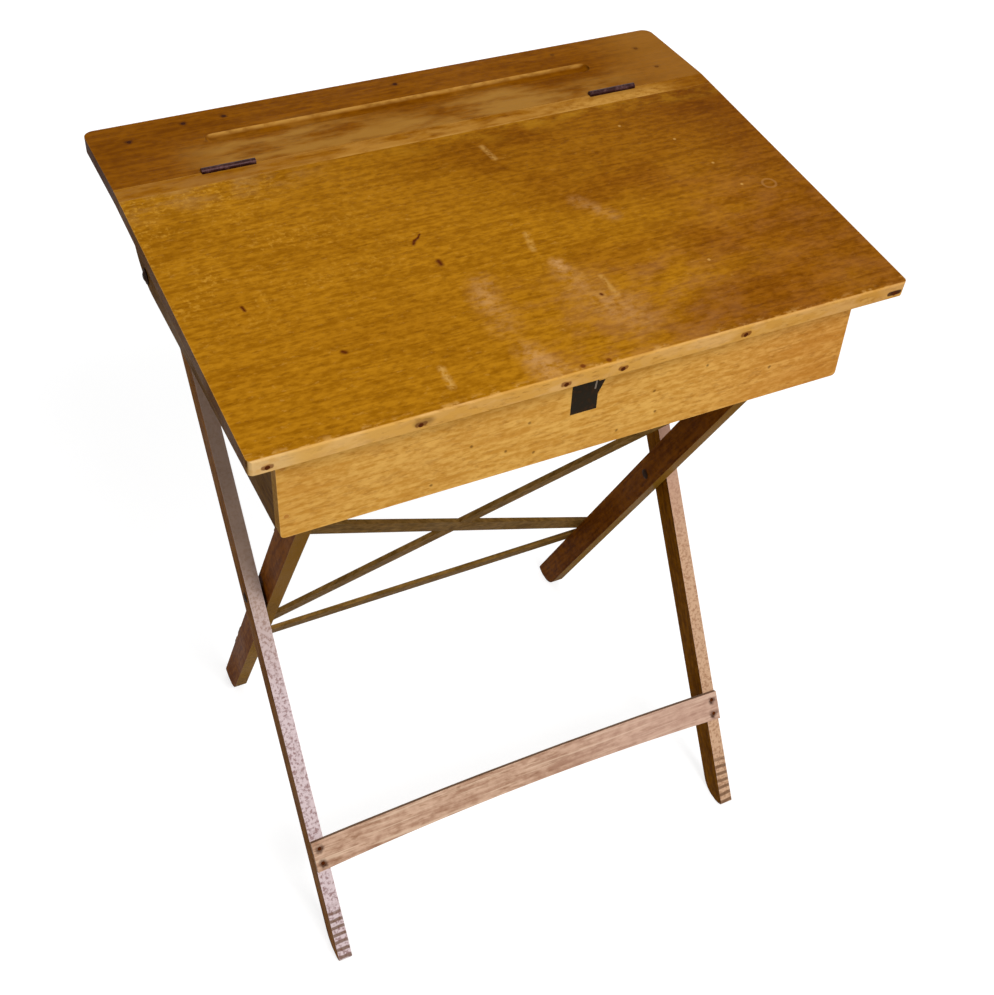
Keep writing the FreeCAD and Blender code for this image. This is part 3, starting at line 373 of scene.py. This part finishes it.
class Wood(Shader):
    """Planed wood: streaks and short dark flecks along the grain, and cloudy stain."""

    def __init__(self, name, grain, dark, light, shift=0.0, fleck=0.5, cloud=0.25,
                 shares=GRAIN_SHARES, mottle=COARSE_MOTTLE, flecks=LONG_FLECKS):
        super().__init__(name)
        self.grain = self.turned(grain, shift)
        self.x, self.y, self.z = (self.along(self.place, axis) for axis in (ACROSS, REARWARD, UPWARD))
        streak = self.noise(self.grain, STREAKS, detail=4, distortion=0.3)
        line = self.noise(self.grain, FINE_LINES, detail=2)
        mottling = self.noise(self.grain, mottle)
        self.fleck = self.spots(self.grain, flecks, 0.54, 0.7, detail=2)
        self.cloud = self.noise(self.grain, CLOUDS)
        tint = 0.0
        for pattern, share in zip((streak, line, mottling), shares):
            tint = self.math("MULTIPLY_ADD", pattern, share, tint)
        self.tint = self.spread(tint, 0.37, 0.63)
        self.colour = self.mix(self.tint, dark, light)
        self.height = self.math("SUBTRACT", self.math("MULTIPLY", line, 0.5), self.fleck)
        cells = self.add("ShaderNodeTexNoise")
        cells.inputs["Scale"].default_value = DRIFT_SCALE
        self.feed(cells.inputs["Vector"], self.place)
        self.drift = self.vector("SUBTRACT", cells.outputs["Color"], (0.5, 0.5, 0.5))
        self.darken(self.fleck, fleck, FLECK_SHARE)
        self.darken(self.spread(self.cloud, 0.45, 0.7), cloud, CLOUD_SHARE)

    def paint(self, mask, strength, colour):
        """Covers the colour so far with another where the mask is 1."""
        self.colour = self.mix(self.math("MULTIPLY", mask, strength), self.colour, colour)

    def darken(self, mask, strength, share):
        """Multiplies the colour so far by a share where the mask is 1."""
        self.colour = self.mix(self.math("MULTIPLY", mask, strength), self.colour, share, "MULTIPLY")

    def carve(self, mask, depth):
        """Lowers the bump where the mask is 1."""
        self.height = self.math("SUBTRACT", self.height, self.math("MULTIPLY", mask, depth))

    def right_of(self, start, full):
        """0 up to a place across, rising to 1 at the next."""
        return self.spread(self.x, start, full)

    def left_of(self, full, end):
        """1 up to a place across, falling to 0 at the next."""
        return self.fade(self.x, full, end)

    def behind(self, start, full):
        """0 up to a place to the rear, rising to 1 at the next."""
        return self.spread(self.y, start, full)

    def before(self, full, end):
        """1 up to a place to the rear, falling to 0 at the next."""
        return self.fade(self.y, full, end)

    def from_above(self):
        """The place with its height left out."""
        return self.vector("MULTIPLY", self.place, (1, 1, 0))

    def shaken(self, reach):
        """The place, moved unevenly by up to half the reach."""
        return self.vector("ADD", self.place, self.vector("SCALE", self.drift, reach))

    def faces(self, direction, start=0.5, full=0.85):
        """1 on faces turned towards a direction."""
        return self.spread(self.along(self.facing, direction), start, full)

    def dark_ends(self, direction, strength=1.0):
        """Darker end grain."""
        turn = self.math("ABSOLUTE", self.along(self.facing, direction))
        self.darken(self.spread(turn, 0.5, 0.85), strength, END_GRAIN_SHARE)

    def worn_edges(self, colour, strength=0.5):
        """Edges rubbed to another colour, unevenly."""
        broken = self.spread(self.cloud, 0.35, 0.6, 0.35, 1.0)
        self.paint(self.meet(self.edge(WOOD_WEAR), broken), strength, colour)

    def stained_round(self, points, core, reach, strength=0.9):
        """Dark rust stains in the wood round some points, with an uneven outline."""
        self.paint(self.near(self.shaken(reach), points, core, reach), strength, RUST)

    def bare_below(self):
        """Bare wood on the underside, without the marks of use."""
        streaks = self.spread(self.noise(self.grain, BARE_STREAKS, detail=4, distortion=0.3), 0.35, 0.65)
        bare = self.mix(self.tint, BARE_DARK, BARE_LIGHT)
        bare = self.mix(self.math("MULTIPLY", streaks, 0.45), bare, CLOUD_SHARE, "MULTIPLY")
        bare = self.mix(self.math("MULTIPLY", self.fleck, 0.4), bare, FLECK_SHARE, "MULTIPLY")
        self.paint(self.faces(-UPWARD), 1.0, bare)

    def varnish(self, smooth=0.4, rough=0.6):
        """Worn varnish, unevenly smooth. Returns the material."""
        roughness = self.spread(self.cloud, 0.3, 0.7, smooth, rough)
        return self.finish(self.colour, roughness, self.height, WOOD_BUMP, VARNISH_GLEAM)


# Nail places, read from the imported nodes

def solids_of(name):
    """The lowest and highest corner of each separate solid in a node."""
    mesh = bmesh.new()
    mesh.from_mesh(nodes[name].data)
    bmesh.ops.remove_doubles(mesh, verts=mesh.verts, dist=WELD_DISTANCE)
    boxes = []
    waiting = set(mesh.verts)
    while waiting:
        island = [waiting.pop()]
        for vertex in island:
            linked = {edge.other_vert(vertex) for edge in vertex.link_edges} & waiting
            waiting -= linked
            island.extend(linked)
        low = Vector([min(vertex.co[axis] for vertex in island) for axis in range(3)])
        high = Vector([max(vertex.co[axis] for vertex in island) for axis in range(3)])
        boxes.append((low, high))
    mesh.free()
    return boxes


def heads_of(name, direction):
    """Where the nails of a node show, from left to right, on the face that they were driven from."""
    heads = []
    for low, high in solids_of(name):
        middle, half = (low + high) / 2, (high - low) / 2
        heads.append(tuple(middle[axis] - direction[axis] * half[axis] for axis in range(3)))
    return sorted(heads)


def flat(point):
    """A place across and along the lid, with no height."""
    return (*point, 0)


# Woods of the top

def tint_lid(wood):
    """Golden at the left, redder at the right and dark at the rear, with patches, crackle and bloom."""
    wood.darken(wood.fleck, 0.4, OLIVE_SHARE)
    flake = wood.spots(wood.grain, (120, 250, 250), 0.58, 0.74, detail=4, roughness=0.7)
    wood.paint(flake, 0.32, tone(204, 152, 70))
    patches = wood.spots(wood.place, (22, 38, 38), 0.44, 0.64, detail=4, roughness=0.6)
    wood.darken(patches, 0.5, PATCH_SHARE)
    crackle = wood.spots(wood.place, (230, 230, 230), 0.5, 0.68, roughness=0.6)
    crackled = wood.spots(wood.grain, (24, 30, 30), 0.42, 0.62)
    left_part = wood.meet(wood.left_of(-0.24, 0.02), wood.behind(-0.16, -0.02))
    wood.paint(wood.meet(crackle, crackled, left_part), 0.5, tone(204, 148, 48))
    lines = wood.spots(wood.grain, (16, 330, 330), 0.56, 0.68, detail=2)
    front_right = wood.meet(wood.right_of(-0.1, 0.15), wood.before(-0.12, -0.02))
    wood.darken(wood.meet(lines, front_right), 0.4, FLECK_SHARE)
    wander = wood.spread(wood.cloud, 0.3, 0.7, -0.09, 0.09)
    russet = wood.spread(wood.math("ADD", wood.x, wander), -0.02, 0.26)
    wood.darken(russet, 0.9, RUSSET_SHARE)
    rear_right = wood.meet(wood.behind(-0.08, 0.1), wood.right_of(-0.25, 0.1))
    wood.darken(rear_right, 0.55, LID_REAR_SHARE)

    bloom = wood.spots(wood.place, (30, 50, 50), 0.4, 0.68, detail=5, roughness=0.65)
    rear_left = wood.meet(wood.behind(0.055, 0.098), wood.left_of(-0.2, -0.08))
    wood.paint(wood.meet(bloom, rear_left), 0.65, tone(166, 122, 66))
    right_front = wood.meet(wood.right_of(0.1, 0.24), wood.before(-0.06, 0.02))
    wood.paint(wood.meet(bloom, right_front), 0.2, tone(176, 116, 60))
    wood.darken(wood.right_of(0.2, 0.29), 0.5, LID_RIGHT_SHARE)
    front_middle = wood.meet(wood.right_of(-0.08, 0.02), wood.left_of(0.1, 0.2), wood.before(-0.15, -0.09))
    wood.paint(wood.meet(bloom, front_middle), 0.3, tone(164, 112, 70))
    by_strip = wood.meet(wood.behind(0.07, 0.1), wood.right_of(-0.12, 0.05))
    wood.paint(wood.meet(bloom, by_strip), 0.7, tone(176, 122, 24))


def mark_lid(wood):
    """Scuffs, scratches, specks, a ring and cuts."""
    place = wood.from_above()
    broken = wood.spots(wood.place, (110, 150, 150), 0.32, 0.66, detail=5, roughness=0.65)
    for start, end, width, strength in LID_SCUFFS:
        scuff = wood.stroke(place, flat(start), flat(end), width)
        wood.paint(wood.meet(scuff, broken), strength, SCUFF)
    fine = wood.spots(wood.place, (240, 240, 240), 0.3, 0.55, detail=2)
    for start, end, width, strength in LID_SCRATCHES:
        scratch = wood.stroke(place, flat(start), flat(end), width)
        wood.paint(wood.meet(scratch, fine), strength, PALE_SCRATCH)
    specks = wood.near(place, [flat(point) for point in LID_SPECKS], *LID_SPECK_SIZE)
    wood.paint(specks, 0.6, PALE_SCRATCH)
    from_middle = wood.vector("DISTANCE", place, flat(LID_RING), "Value")
    from_ring = wood.math("ABSOLUTE", wood.math("SUBTRACT", from_middle, LID_RING_RADIUS))
    wood.paint(wood.fade(from_ring, *LID_RING_LINE), 0.2, SCUFF)
    for start, end, width in LID_CUTS:
        cut = wood.stroke(place, flat(start), flat(end), width)
        wood.paint(cut, 1.0, tone(84, 32, 4))
        wood.carve(cut, LID_CUT_DEPTH)


def rub_lid_front(wood):
    """The lid's front edge: rubbed pale, palest at the left, with a pale rim and chips above it."""
    dark_flecks = wood.spread(wood.fleck, 0.0, 1.0, 0.0, 0.5)
    pale = wood.mix(dark_flecks, tone(204, 151, 70), tone(156, 106, 42))
    blotch = wood.spots(wood.place, (22, 60, 60), 0.48, 0.66, most=0.6)
    pale = wood.mix(blotch, pale, tone(218, 172, 110))
    smudge = wood.spots(wood.place, (50, 150, 150), 0.5, 0.64, detail=4, most=0.35)
    pale = wood.mix(smudge, pale, tone(182, 130, 60))
    left_third = wood.spread(wood.x, -0.3, -0.1, 0.4, 0.0)
    pale = wood.mix(left_third, pale, tone(224, 180, 104))
    left_end = wood.spread(wood.x, -0.29, -0.25, 0.6, 0.0)
    pale = wood.mix(left_end, pale, tone(222, 188, 136))
    right_half = wood.spread(wood.x, 0.05, 0.3, 0.0, 0.6)
    pale = wood.mix(right_half, pale, FRONT_EDGE_SHARE, "MULTIPLY")
    wood.paint(wood.faces(-REARWARD, 0.35, 0.8), 1.0, pale)

    low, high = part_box("lid_lipping")
    near, far = RIM_REACH
    at_ends = wood.spread(wood.math("ABSOLUTE", wood.x), high.x - far, high.x - near)
    rim = wood.math("MAXIMUM", wood.before(low.y + near, low.y + far), at_ends)
    wood.paint(wood.meet(wood.edge(WOOD_WEAR), rim), 0.45, tone(206, 156, 76))
    chips = wood.spots(wood.place, (70, 120, 120), 0.5, 0.62, detail=5, roughness=0.65)
    wood.paint(wood.meet(chips, wood.before(low.y, low.y + CHIP_REACH)), 0.6, tone(206, 156, 84))


def stain_lid_front(wood):
    """Rust round the nails of the lid's front edge, with the knot, the gouge and the marks by them."""
    nails = heads_of("lipping_nails", REARWARD)
    shaken = wood.shaken(NAIL_STAIN_WANDER)
    for x, y, z in nails:
        stain = wood.stroke(shaken, (x - NAIL_STAIN, y, z), (x + NAIL_STAIN, y, z), NAIL_STAIN_WIDTH)
        wood.paint(wood.spread(stain, 0.1, 0.6), 0.75, NAIL_RUST)
    x, y, z = nails[1]
    z += KNOT_RISE
    knot = wood.stroke(shaken, (x + KNOT_START, y, z), (x + KNOT_END, y, z), KNOT_WIDTH)
    wood.paint(knot, 0.6, tone(104, 70, 38))
    x, y, z = nails[-1]
    gouge = wood.stroke(wood.place, (GOUGE_START, y, z), (GOUGE_END, y, z), GOUGE_WIDTH)
    wood.paint(wood.spread(gouge, 0.2, 0.6), 0.9, RUST)
    wood.carve(gouge, GOUGE_DEPTH)
    marks = wood.near(wood.from_above(), [flat(point) for point in LID_NAIL_MARKS], *LID_NAIL_MARK_SIZE)
    wood.paint(marks, 0.85, NAIL_RUST)


def lid_wood():
    """The lid's board and its lipping."""
    wood = Wood("lid_wood", ACROSS, tone(146, 92, 4), tone(177, 119, 18), fleck=0.0,
                shares=LID_SHARES, mottle=FINE_MOTTLE, flecks=SHORT_FLECKS)
    tint_lid(wood)
    mark_lid(wood)
    wood.dark_ends(ACROSS)
    rub_lid_front(wood)
    stain_lid_front(wood)
    wood.bare_below()
    return wood.varnish()


def strip_wood():
    """The strip behind the lid's board: hazy, speckled by the right hinge and dark at the right end."""
    wood = Wood("strip_wood", ACROSS, tone(136, 80, 4), tone(158, 102, 18), shift=3.1, cloud=0.2)
    haze = wood.spots(wood.place, (24, 90, 90), 0.36, 0.62, detail=5, roughness=0.65)
    between = wood.meet(wood.right_of(-0.2, -0.06), wood.left_of(0.2, 0.26))
    wood.paint(wood.meet(haze, between), 0.8, tone(178, 126, 52))
    wood.paint(wood.meet(haze, wood.left_of(-0.2, -0.08)), 0.5, tone(160, 114, 58))
    front_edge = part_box("lid_rear_strip")[0].y
    near, far = STRIP_SPECKLE
    front_half = wood.spread(wood.y, front_edge + near, front_edge + far, 1.0, 0.2)
    by_hinge = wood.meet(wood.right_of(0.08, 0.18), wood.left_of(0.23, 0.28))
    speckle = wood.spots(wood.place, (110, 190, 190), 0.38, 0.58, detail=4, roughness=0.7, least=0.25)
    wood.paint(wood.meet(speckle, front_half, by_hinge), 0.8, tone(196, 144, 66))
    wood.darken(wood.right_of(0.23, 0.28), 0.8, STRIP_END_SHARE)
    rubbed = wood.before(front_edge, front_edge + STRIP_RUBBED)
    wood.paint(wood.meet(rubbed, between, haze), 0.7, tone(190, 140, 66))
    wood.dark_ends(ACROSS)
    wood.worn_edges(tone(200, 150, 78))
    wood.bare_below()
    return wood.varnish(smooth=0.45, rough=0.65)


def rail_wood():
    """The rail: dark, hazy along its front, with a broken painted highlight on the pen groove's rear wall
    and painted shade on its front wall.
    """
    wood = Wood("rail_wood", ACROSS, tone(112, 61, 0), tone(138, 81, 2), shift=7.7, fleck=0.35, cloud=0.3)
    low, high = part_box("rear_rail")
    wander = wood.spread(wood.cloud, 0.3, 0.7, -RAIL_HAZE_WANDER, RAIL_HAZE_WANDER)
    near, far = RAIL_HAZE
    worn_front = wood.fade(wood.math("ADD", wood.y, wander), low.y + near, low.y + far)
    middle = wood.meet(wood.right_of(-0.25, -0.18), wood.left_of(0.16, 0.27))
    haze = wood.spots(wood.place, (16, 50, 50), 0.34, 0.62, detail=4)
    wood.paint(wood.meet(worn_front, middle, haze), 0.8, tone(168, 120, 50))
    from_middle = wood.math("ABSOLUTE", wood.math("SUBTRACT", wood.y, (low.y + high.y) / 2))
    groove = wood.fade(from_middle, *GROOVE_BAND)
    broken = wood.spots(wood.place, (90, 200, 200), 0.3, 0.6, least=0.45)
    # Painted highlight: the groove's rear wall, turned towards the front, painted pale and broken
    wood.paint(wood.meet(wood.faces(-REARWARD, 0.45, 0.78), groove, broken), 0.8, tone(192, 142, 66))
    # Painted shade: the groove's front wall, turned to the rear, darkened
    wood.darken(wood.meet(wood.faces(REARWARD, 0.2, 0.7), groove), 0.35, FLECK_SHARE)
    wood.paint(wood.right_of(0.19, 0.28), 0.6, tone(156, 104, 36))
    wood.dark_ends(ACROSS)
    wood.worn_edges(tone(168, 112, 40))
    for head in heads_of("rail_nails", -UPWARD):
        strength = 0.75 if head[0] < FAINT_NAILS_FROM else 0.3
        wood.stained_round([head], core=0.0012, reach=0.0055, strength=strength)
    wood.bare_below()
    return wood.varnish()


# Woods of the box

def panel_wood():
    """The front panel: pale, more orange in streaks and at the right, with dark specks."""
    wood = Wood("panel_wood", ACROSS, tone(192, 136, 54), tone(219, 168, 85), shift=11.3, fleck=0.4,
                shares=LID_SHARES, mottle=FINEST_MOTTLE, flecks=SHORT_FLECKS)
    orange = wood.spots(wood.grain, (7, 34, 34), 0.46, 0.66, detail=4, roughness=0.65)
    wood.paint(orange, 0.4, tone(192, 132, 50))
    wood.darken(wood.right_of(0.05, 0.25), 0.9, PANEL_RIGHT_SHARE)
    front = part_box("front_panel")[0].y
    specks = [(x, front, z) for x, z in PANEL_SPECKS]
    wood.stained_round(specks, core=0.0006, reach=0.0022, strength=0.6)
    nails = heads_of("front_panel_nails", REARWARD)
    wood.stained_round(nails, core=0.002, reach=0.004, strength=0.12)
    wood.dark_ends(ACROSS, 0.5)
    wood.worn_edges(tone(228, 182, 108))
    return wood.varnish(smooth=0.45, rough=0.65)


def side_wood(name, grain, shift):
    """The sides and the rear of the box."""
    wood = Wood(name, grain, tone(84, 54, 16), tone(118, 82, 32), shift=shift, cloud=0.4)
    wood.worn_edges(tone(150, 112, 72))
    return wood.varnish(smooth=0.45, rough=0.7)


def inside_wood():
    """The bare boards in and under the box."""
    wood = Wood("inside_wood", ACROSS, BARE_DARK, BARE_LIGHT, shift=9.4, cloud=0.4)
    wood.worn_edges(tone(190, 150, 100), 0.4)
    return wood.varnish(smooth=0.6, rough=0.8)


# Woods of the legs

def leg_wood(name, down, foot, shift, sides, front, speckle, shaded, rim):
    """Dark brown sides and a speckled front, painted paler partly as rubbed wood and partly as painted
    sheen, with painted shade above and dark bands by the foot.
    """
    wood = Wood(name, down, *sides, shift=shift, cloud=0.35)
    on_front = wood.faces(down.cross(ACROSS))
    dots = wood.spots(wood.place, (300, 300, 300), 0.44, 0.66, roughness=0.6)
    front = wood.mix(dots, front, speckle)
    # Painted shade: the upper front turns to the shaded colour, standing for the shadow of the top
    front = wood.mix(wood.spread(wood.z, *LEG_SHADE, 0.0, 0.9), front, shaded)
    # The front's paler colour is partly rubbed wood and partly painted sheen
    wood.paint(on_front, 0.95, front)
    reach = wood.along(wood.place, down)
    end = foot.dot(down)
    wander = wood.spread(wood.cloud, 0.2, 0.8, -FOOT_BAND_WANDER, FOOT_BAND_WANDER)
    wave = wood.math("MULTIPLY", wood.math("ADD", reach, wander), 2 * math.pi / FOOT_BAND)
    bands = wood.spread(wood.math("SINE", wave), -0.2, 0.6)
    by_foot = wood.spread(reach, end - FOOT_BANDS_BEGIN, end - FOOT_BANDS_FULL)
    wood.paint(wood.meet(bands, by_foot, on_front), 0.8, tone(108, 76, 52))
    wood.worn_edges(rim, 0.45)
    return wood.varnish(smooth=0.45, rough=0.65)


def slat_wood(name, grain, dark, light, shift):
    """The wood of the thin slats, still to be varnished."""
    wood = Wood(name, grain, dark, light, shift=shift, fleck=0.6, cloud=0.3)
    wood.dark_ends(ACROSS, 0.5)
    return wood


def stretcher_wood():
    """The stretcher: rubbed pale in streaks, mauve to the right, and with painted shade on its top edge.
    """
    wood = slat_wood("stretcher_wood", ACROSS, tone(168, 128, 103), tone(211, 175, 149), 4.6)
    pale = wood.spots(wood.grain, (9, 300, 300), 0.54, 0.66)
    wood.paint(pale, 0.6, tone(228, 198, 170))
    wood.paint(wood.right_of(-0.05, 0.2), 0.35, tone(200, 164, 152))
    # Painted shade: the top edge darkened
    wood.paint(wood.faces(-OUTER_DOWN), 0.8, tone(84, 58, 36))
    nails = heads_of("stretcher_nails", -OUTER_DOWN.cross(ACROSS))
    wood.stained_round(nails, core=0.002, reach=0.007)
    wood.worn_edges(tone(206, 170, 136), 0.4)
    return wood.varnish(smooth=0.5, rough=0.7)


def brace_wood(name, grain, shift):
    """The braces and the lower rail between the inner legs."""
    wood = slat_wood(name, grain, tone(99, 71, 28), tone(137, 102, 50), shift)
    return wood.varnish(smooth=0.5, rough=0.7)


# Metals

def metal(name, dark, worn, roughness, wear, metallic=0.0, gleam=0.05, faint=None, scratch=None):
    """Dark metal, worn at the edges. It may turn faint to the right, or have a pale scratch."""
    shader = Shader(name)
    grime = shader.noise(shader.place, (180, 180, 180), detail=4)
    colour = shader.mix(shader.spread(grime, 0.45, 0.7, 0.0, 0.5), dark, worn)
    colour = shader.mix(shader.math("MULTIPLY", shader.edge(METAL_WEAR), wear), colour, worn)
    if faint is not None:
        across = shader.along(shader.place, ACROSS)
        right = shader.spread(across, FAINT_NAILS_FROM - FAINT_NAILS_BLEND, FAINT_NAILS_FROM)
        colour = shader.mix(right, colour, faint)
    if scratch is not None:
        line = shader.stroke(shader.place, *scratch, PLATE_SCRATCH_WIDTH)
        colour = shader.mix(shader.spread(line, 0.1, 0.5, 0.0, 0.8), colour, tone(142, 126, 110))
    rough = shader.spread(grime, 0.3, 0.7, roughness - 0.1, roughness + 0.15)
    return shader.finish(colour, rough, grime, METAL_BUMP, gleam, metallic)


# The finish of each node

def dress(material, *names, rounding=BOARD_ROUND):
    """Gives nodes a material and softens their edges."""
    for name in names:
        node = nodes[name]
        node.data.materials.clear()
        node.data.materials.append(material)
        weld = node.modifiers.new("weld", "WELD")
        weld.merge_threshold = WELD_DISTANCE
        join = node.modifiers.new("join", "DECIMATE")
        join.decimate_type = "DISSOLVE"
        join.angle_limit = FLAT_ANGLE
        bevel = node.modifiers.new("soften", "BEVEL")
        bevel.width = rounding
        bevel.segments = ROUND_STEPS
        bevel.limit_method = "ANGLE"
        bevel.angle_limit = SHARP_ANGLE
        bevel.use_clamp_overlap = True
        node.modifiers.new("shade", "WEIGHTED_NORMAL")


def dress_metal(material, *names):
    """Dresses hardware, with finer edges than those of boards."""
    dress(material, *names, rounding=METAL_ROUND)


dress(lid_wood(), "lid_panel", "lid_lipping", rounding=SEAM_ROUND)
dress(strip_wood(), "lid_rear_strip")
dress(rail_wood(), "rear_rail")
dress(panel_wood(), "front_panel")
dress(side_wood("left_side_wood", REARWARD, 2.2), "left_side_panel")
dress(side_wood("right_side_wood", REARWARD, 5.8), "right_side_panel")
dress(side_wood("rear_wood", ACROSS, 3.7), "rear_panel")
dress(inside_wood(), "bottom_board", "front_bearer")
dress(stretcher_wood(), "front_stretcher")

outer_foot = Vector((0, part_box("left_outer_leg")[0].y, 0))
outer_sides = (tone(100, 56, 0), tone(142, 88, 4))
# The outer legs' pale fronts, palest and pinkest on the left leg, are partly rubbed wood and partly
# painted sheen; shaded is their painted shade
left_outer_wood = leg_wood("left_outer_wood", OUTER_DOWN, outer_foot, 1.0, outer_sides,
                           front=tone(220, 201, 203), speckle=tone(158, 128, 128),
                           shaded=tone(176, 150, 130), rim=tone(236, 214, 206))
right_outer_wood = leg_wood("right_outer_wood", OUTER_DOWN, outer_foot, 2.0, outer_sides,
                            front=tone(208, 170, 138), speckle=tone(172, 130, 100),
                            shaded=tone(188, 148, 130), rim=tone(214, 178, 152))
dress(left_outer_wood, "left_outer_leg")
dress(right_outer_wood, "right_outer_leg")

inner_low, inner_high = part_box("left_inner_leg")
inner_down = Vector((0, inner_high.y - inner_low.y, inner_low.z - inner_high.z)).normalized()
inner_foot = Vector((0, inner_high.y, 0))
inner_sides = (tone(92, 44, 0), tone(130, 73, 6))
inner_wood = leg_wood("inner_leg_wood", inner_down, inner_foot, 3.0, inner_sides,
                      front=tone(144, 104, 34), speckle=tone(116, 80, 20),
                      shaded=tone(128, 88, 22), rim=tone(164, 124, 80))
dress(inner_wood, "left_inner_leg", "right_inner_leg")

brace_low, brace_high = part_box("rising_brace")
rise = Vector((brace_high.x - brace_low.x, 0, brace_high.z - brace_low.z))
fall = Vector((brace_high.x - brace_low.x, 0, brace_low.z - brace_high.z))
dress(brace_wood("rising_brace_wood", rise, 6.1), "rising_brace")
dress(brace_wood("falling_brace_wood", fall, 8.3), "falling_brace")
dress(brace_wood("lower_rail_wood", ACROSS, 9.9), "lower_rail")

plate_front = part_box("lock_plate")[0].y
plate_scratch = [(x, plate_front, z) for x, z in PLATE_SCRATCH]
hinge_iron = metal("hinge_iron", tone(44, 15, 14), tone(112, 78, 76), roughness=0.4, wear=0.4,
                   metallic=0.4, gleam=0.2)
plate_iron = metal("plate_iron", tone(32, 25, 15), tone(64, 42, 26), roughness=0.6, wear=0.35,
                   scratch=plate_scratch)
rusty_steel = metal("rusty_steel", tone(74, 30, 4), tone(102, 50, 12), roughness=0.85, wear=0.1)
rail_steel = metal("rail_steel", tone(54, 24, 12), tone(78, 42, 22), roughness=0.85, wear=0.1,
                   faint=tone(104, 60, 14))
filled_holes = metal("filled_holes", tone(178, 120, 50), tone(196, 140, 68), roughness=0.8, wear=0.1)
dull_steel = metal("dull_steel", tone(84, 78, 72), tone(140, 134, 126), roughness=0.45, wear=0.5,
                   metallic=0.8)
brown_steel = metal("brown_steel", tone(42, 24, 10), tone(70, 44, 26), roughness=0.6, wear=0.4)

dress_metal(hinge_iron, "left_hinge_rail_leaf", "right_hinge_rail_leaf", "left_hinge_lid_leaf",
            "right_hinge_lid_leaf", "left_hinge_pin", "right_hinge_pin")
dress_metal(plate_iron, "lock_plate")
dress_metal(rail_steel, "rail_nails")
dress_metal(rusty_steel, "bottom_nails", "bearer_nails", "lipping_nails", "stretcher_nails", "brace_nails")
dress_metal(filled_holes, "front_panel_nails")
dress_metal(dull_steel, "rail_hinge_screws", "lid_hinge_screws", "leg_spacers")
dress_metal(brown_steel, "left_leg_pivot", "right_leg_pivot", "leg_pivot_washers", "crossing_rivets",
            "crossing_washers")


# Stage: floor, sky, lamps and camera

def seen_directly(tree):
    """1 for rays from the camera or by way of a mirror or glass."""
    path = tree.nodes.new("ShaderNodeLightPath")
    seen = math_node(tree, "MAXIMUM", path.outputs["Is Camera Ray"], path.outputs["Is Glossy Ray"])
    return math_node(tree, "MAXIMUM", seen, path.outputs["Is Transmission Ray"])


def add_floor():
    """A pale floor that shows white where it is lit, and keeps the shadow."""
    half = FLOOR_SIZE / 2
    mesh = bpy.data.meshes.new("floor")
    corners = [(-half, -half, 0), (half, -half, 0), (half, half, 0), (-half, half, 0)]
    mesh.from_pydata(corners, [], [(0, 1, 2, 3)])
    floor = bpy.data.objects.new("floor", mesh)
    bpy.context.scene.collection.objects.link(floor)
    shader = Shader("floor_paper")
    shader.surface.inputs["Base Color"].default_value = (FLOOR_GREY, FLOOR_GREY, FLOOR_GREY, 1)
    shader.surface.inputs["Roughness"].default_value = FLOOR_ROUGHNESS
    shader.surface.inputs["Specular IOR Level"].default_value = 0
    shader.surface.inputs["Emission Color"].default_value = WHITE
    glow = shader.math("MULTIPLY", seen_directly(shader.tree), FLOOR_GLOW)
    shader.feed(shader.surface.inputs["Emission Strength"], glow)
    mesh.materials.append(shader.material)


def add_sky():
    """Soft light from all round, white where it is seen."""
    world = bpy.data.worlds.new("sky")
    bpy.context.scene.world = world
    world.use_nodes = True
    tree = world.node_tree
    strength = math_node(tree, "MAXIMUM", seen_directly(tree), SKY_STRENGTH)
    background = tree.nodes["Background"]
    background.inputs["Color"].default_value = WHITE
    tree.links.new(strength, background.inputs["Strength"])


def add_lamp(name, place, size, power, gleam):
    """A round lamp aimed at the desk, which gleams on it or doesn't."""
    light = bpy.data.lights.new(name, "AREA")
    light.shape = "DISK"
    light.size = size
    light.energy = power
    lamp = bpy.data.objects.new(name, light)
    lamp.visible_camera = False
    lamp.visible_glossy = gleam
    lamp.location = place
    lamp.rotation_euler = (LAMP_AIM - place).to_track_quat("-Z", "Y").to_euler()
    bpy.context.scene.collection.objects.link(lamp)


def add_camera():
    """The camera at the photograph's angle, from its yaw, pitch and roll."""
    ahead = Vector((-math.sin(CAMERA_YAW) * math.cos(CAMERA_PITCH),
                    math.cos(CAMERA_YAW) * math.cos(CAMERA_PITCH), math.sin(CAMERA_PITCH)))
    level = Vector((math.cos(CAMERA_YAW), math.sin(CAMERA_YAW), 0))
    upright = level.cross(ahead)
    right = level * math.cos(CAMERA_ROLL) + upright * math.sin(CAMERA_ROLL)
    up = upright * math.cos(CAMERA_ROLL) - level * math.sin(CAMERA_ROLL)
    lens = bpy.data.cameras.new("camera")
    lens.sensor_fit = "HORIZONTAL"
    lens.sensor_width = SENSOR_WIDTH
    lens.lens = FOCAL_PIXELS * SENSOR_WIDTH / IMAGE_WIDTH
    camera = bpy.data.objects.new("camera", lens)
    turn = Matrix((right, up, -ahead)).transposed().to_4x4()
    camera.matrix_world = Matrix.Translation(CAMERA_PLACE) @ turn
    bpy.context.scene.collection.objects.link(camera)
    bpy.context.scene.camera = camera


add_floor()
add_sky()
add_lamp("key", KEY_PLACE, KEY_SIZE, KEY_POWER, True)
add_lamp("fill", FILL_PLACE, FILL_SIZE, FILL_POWER, False)
add_camera()
bpy.context.scene.view_settings.view_transform = "Standard"
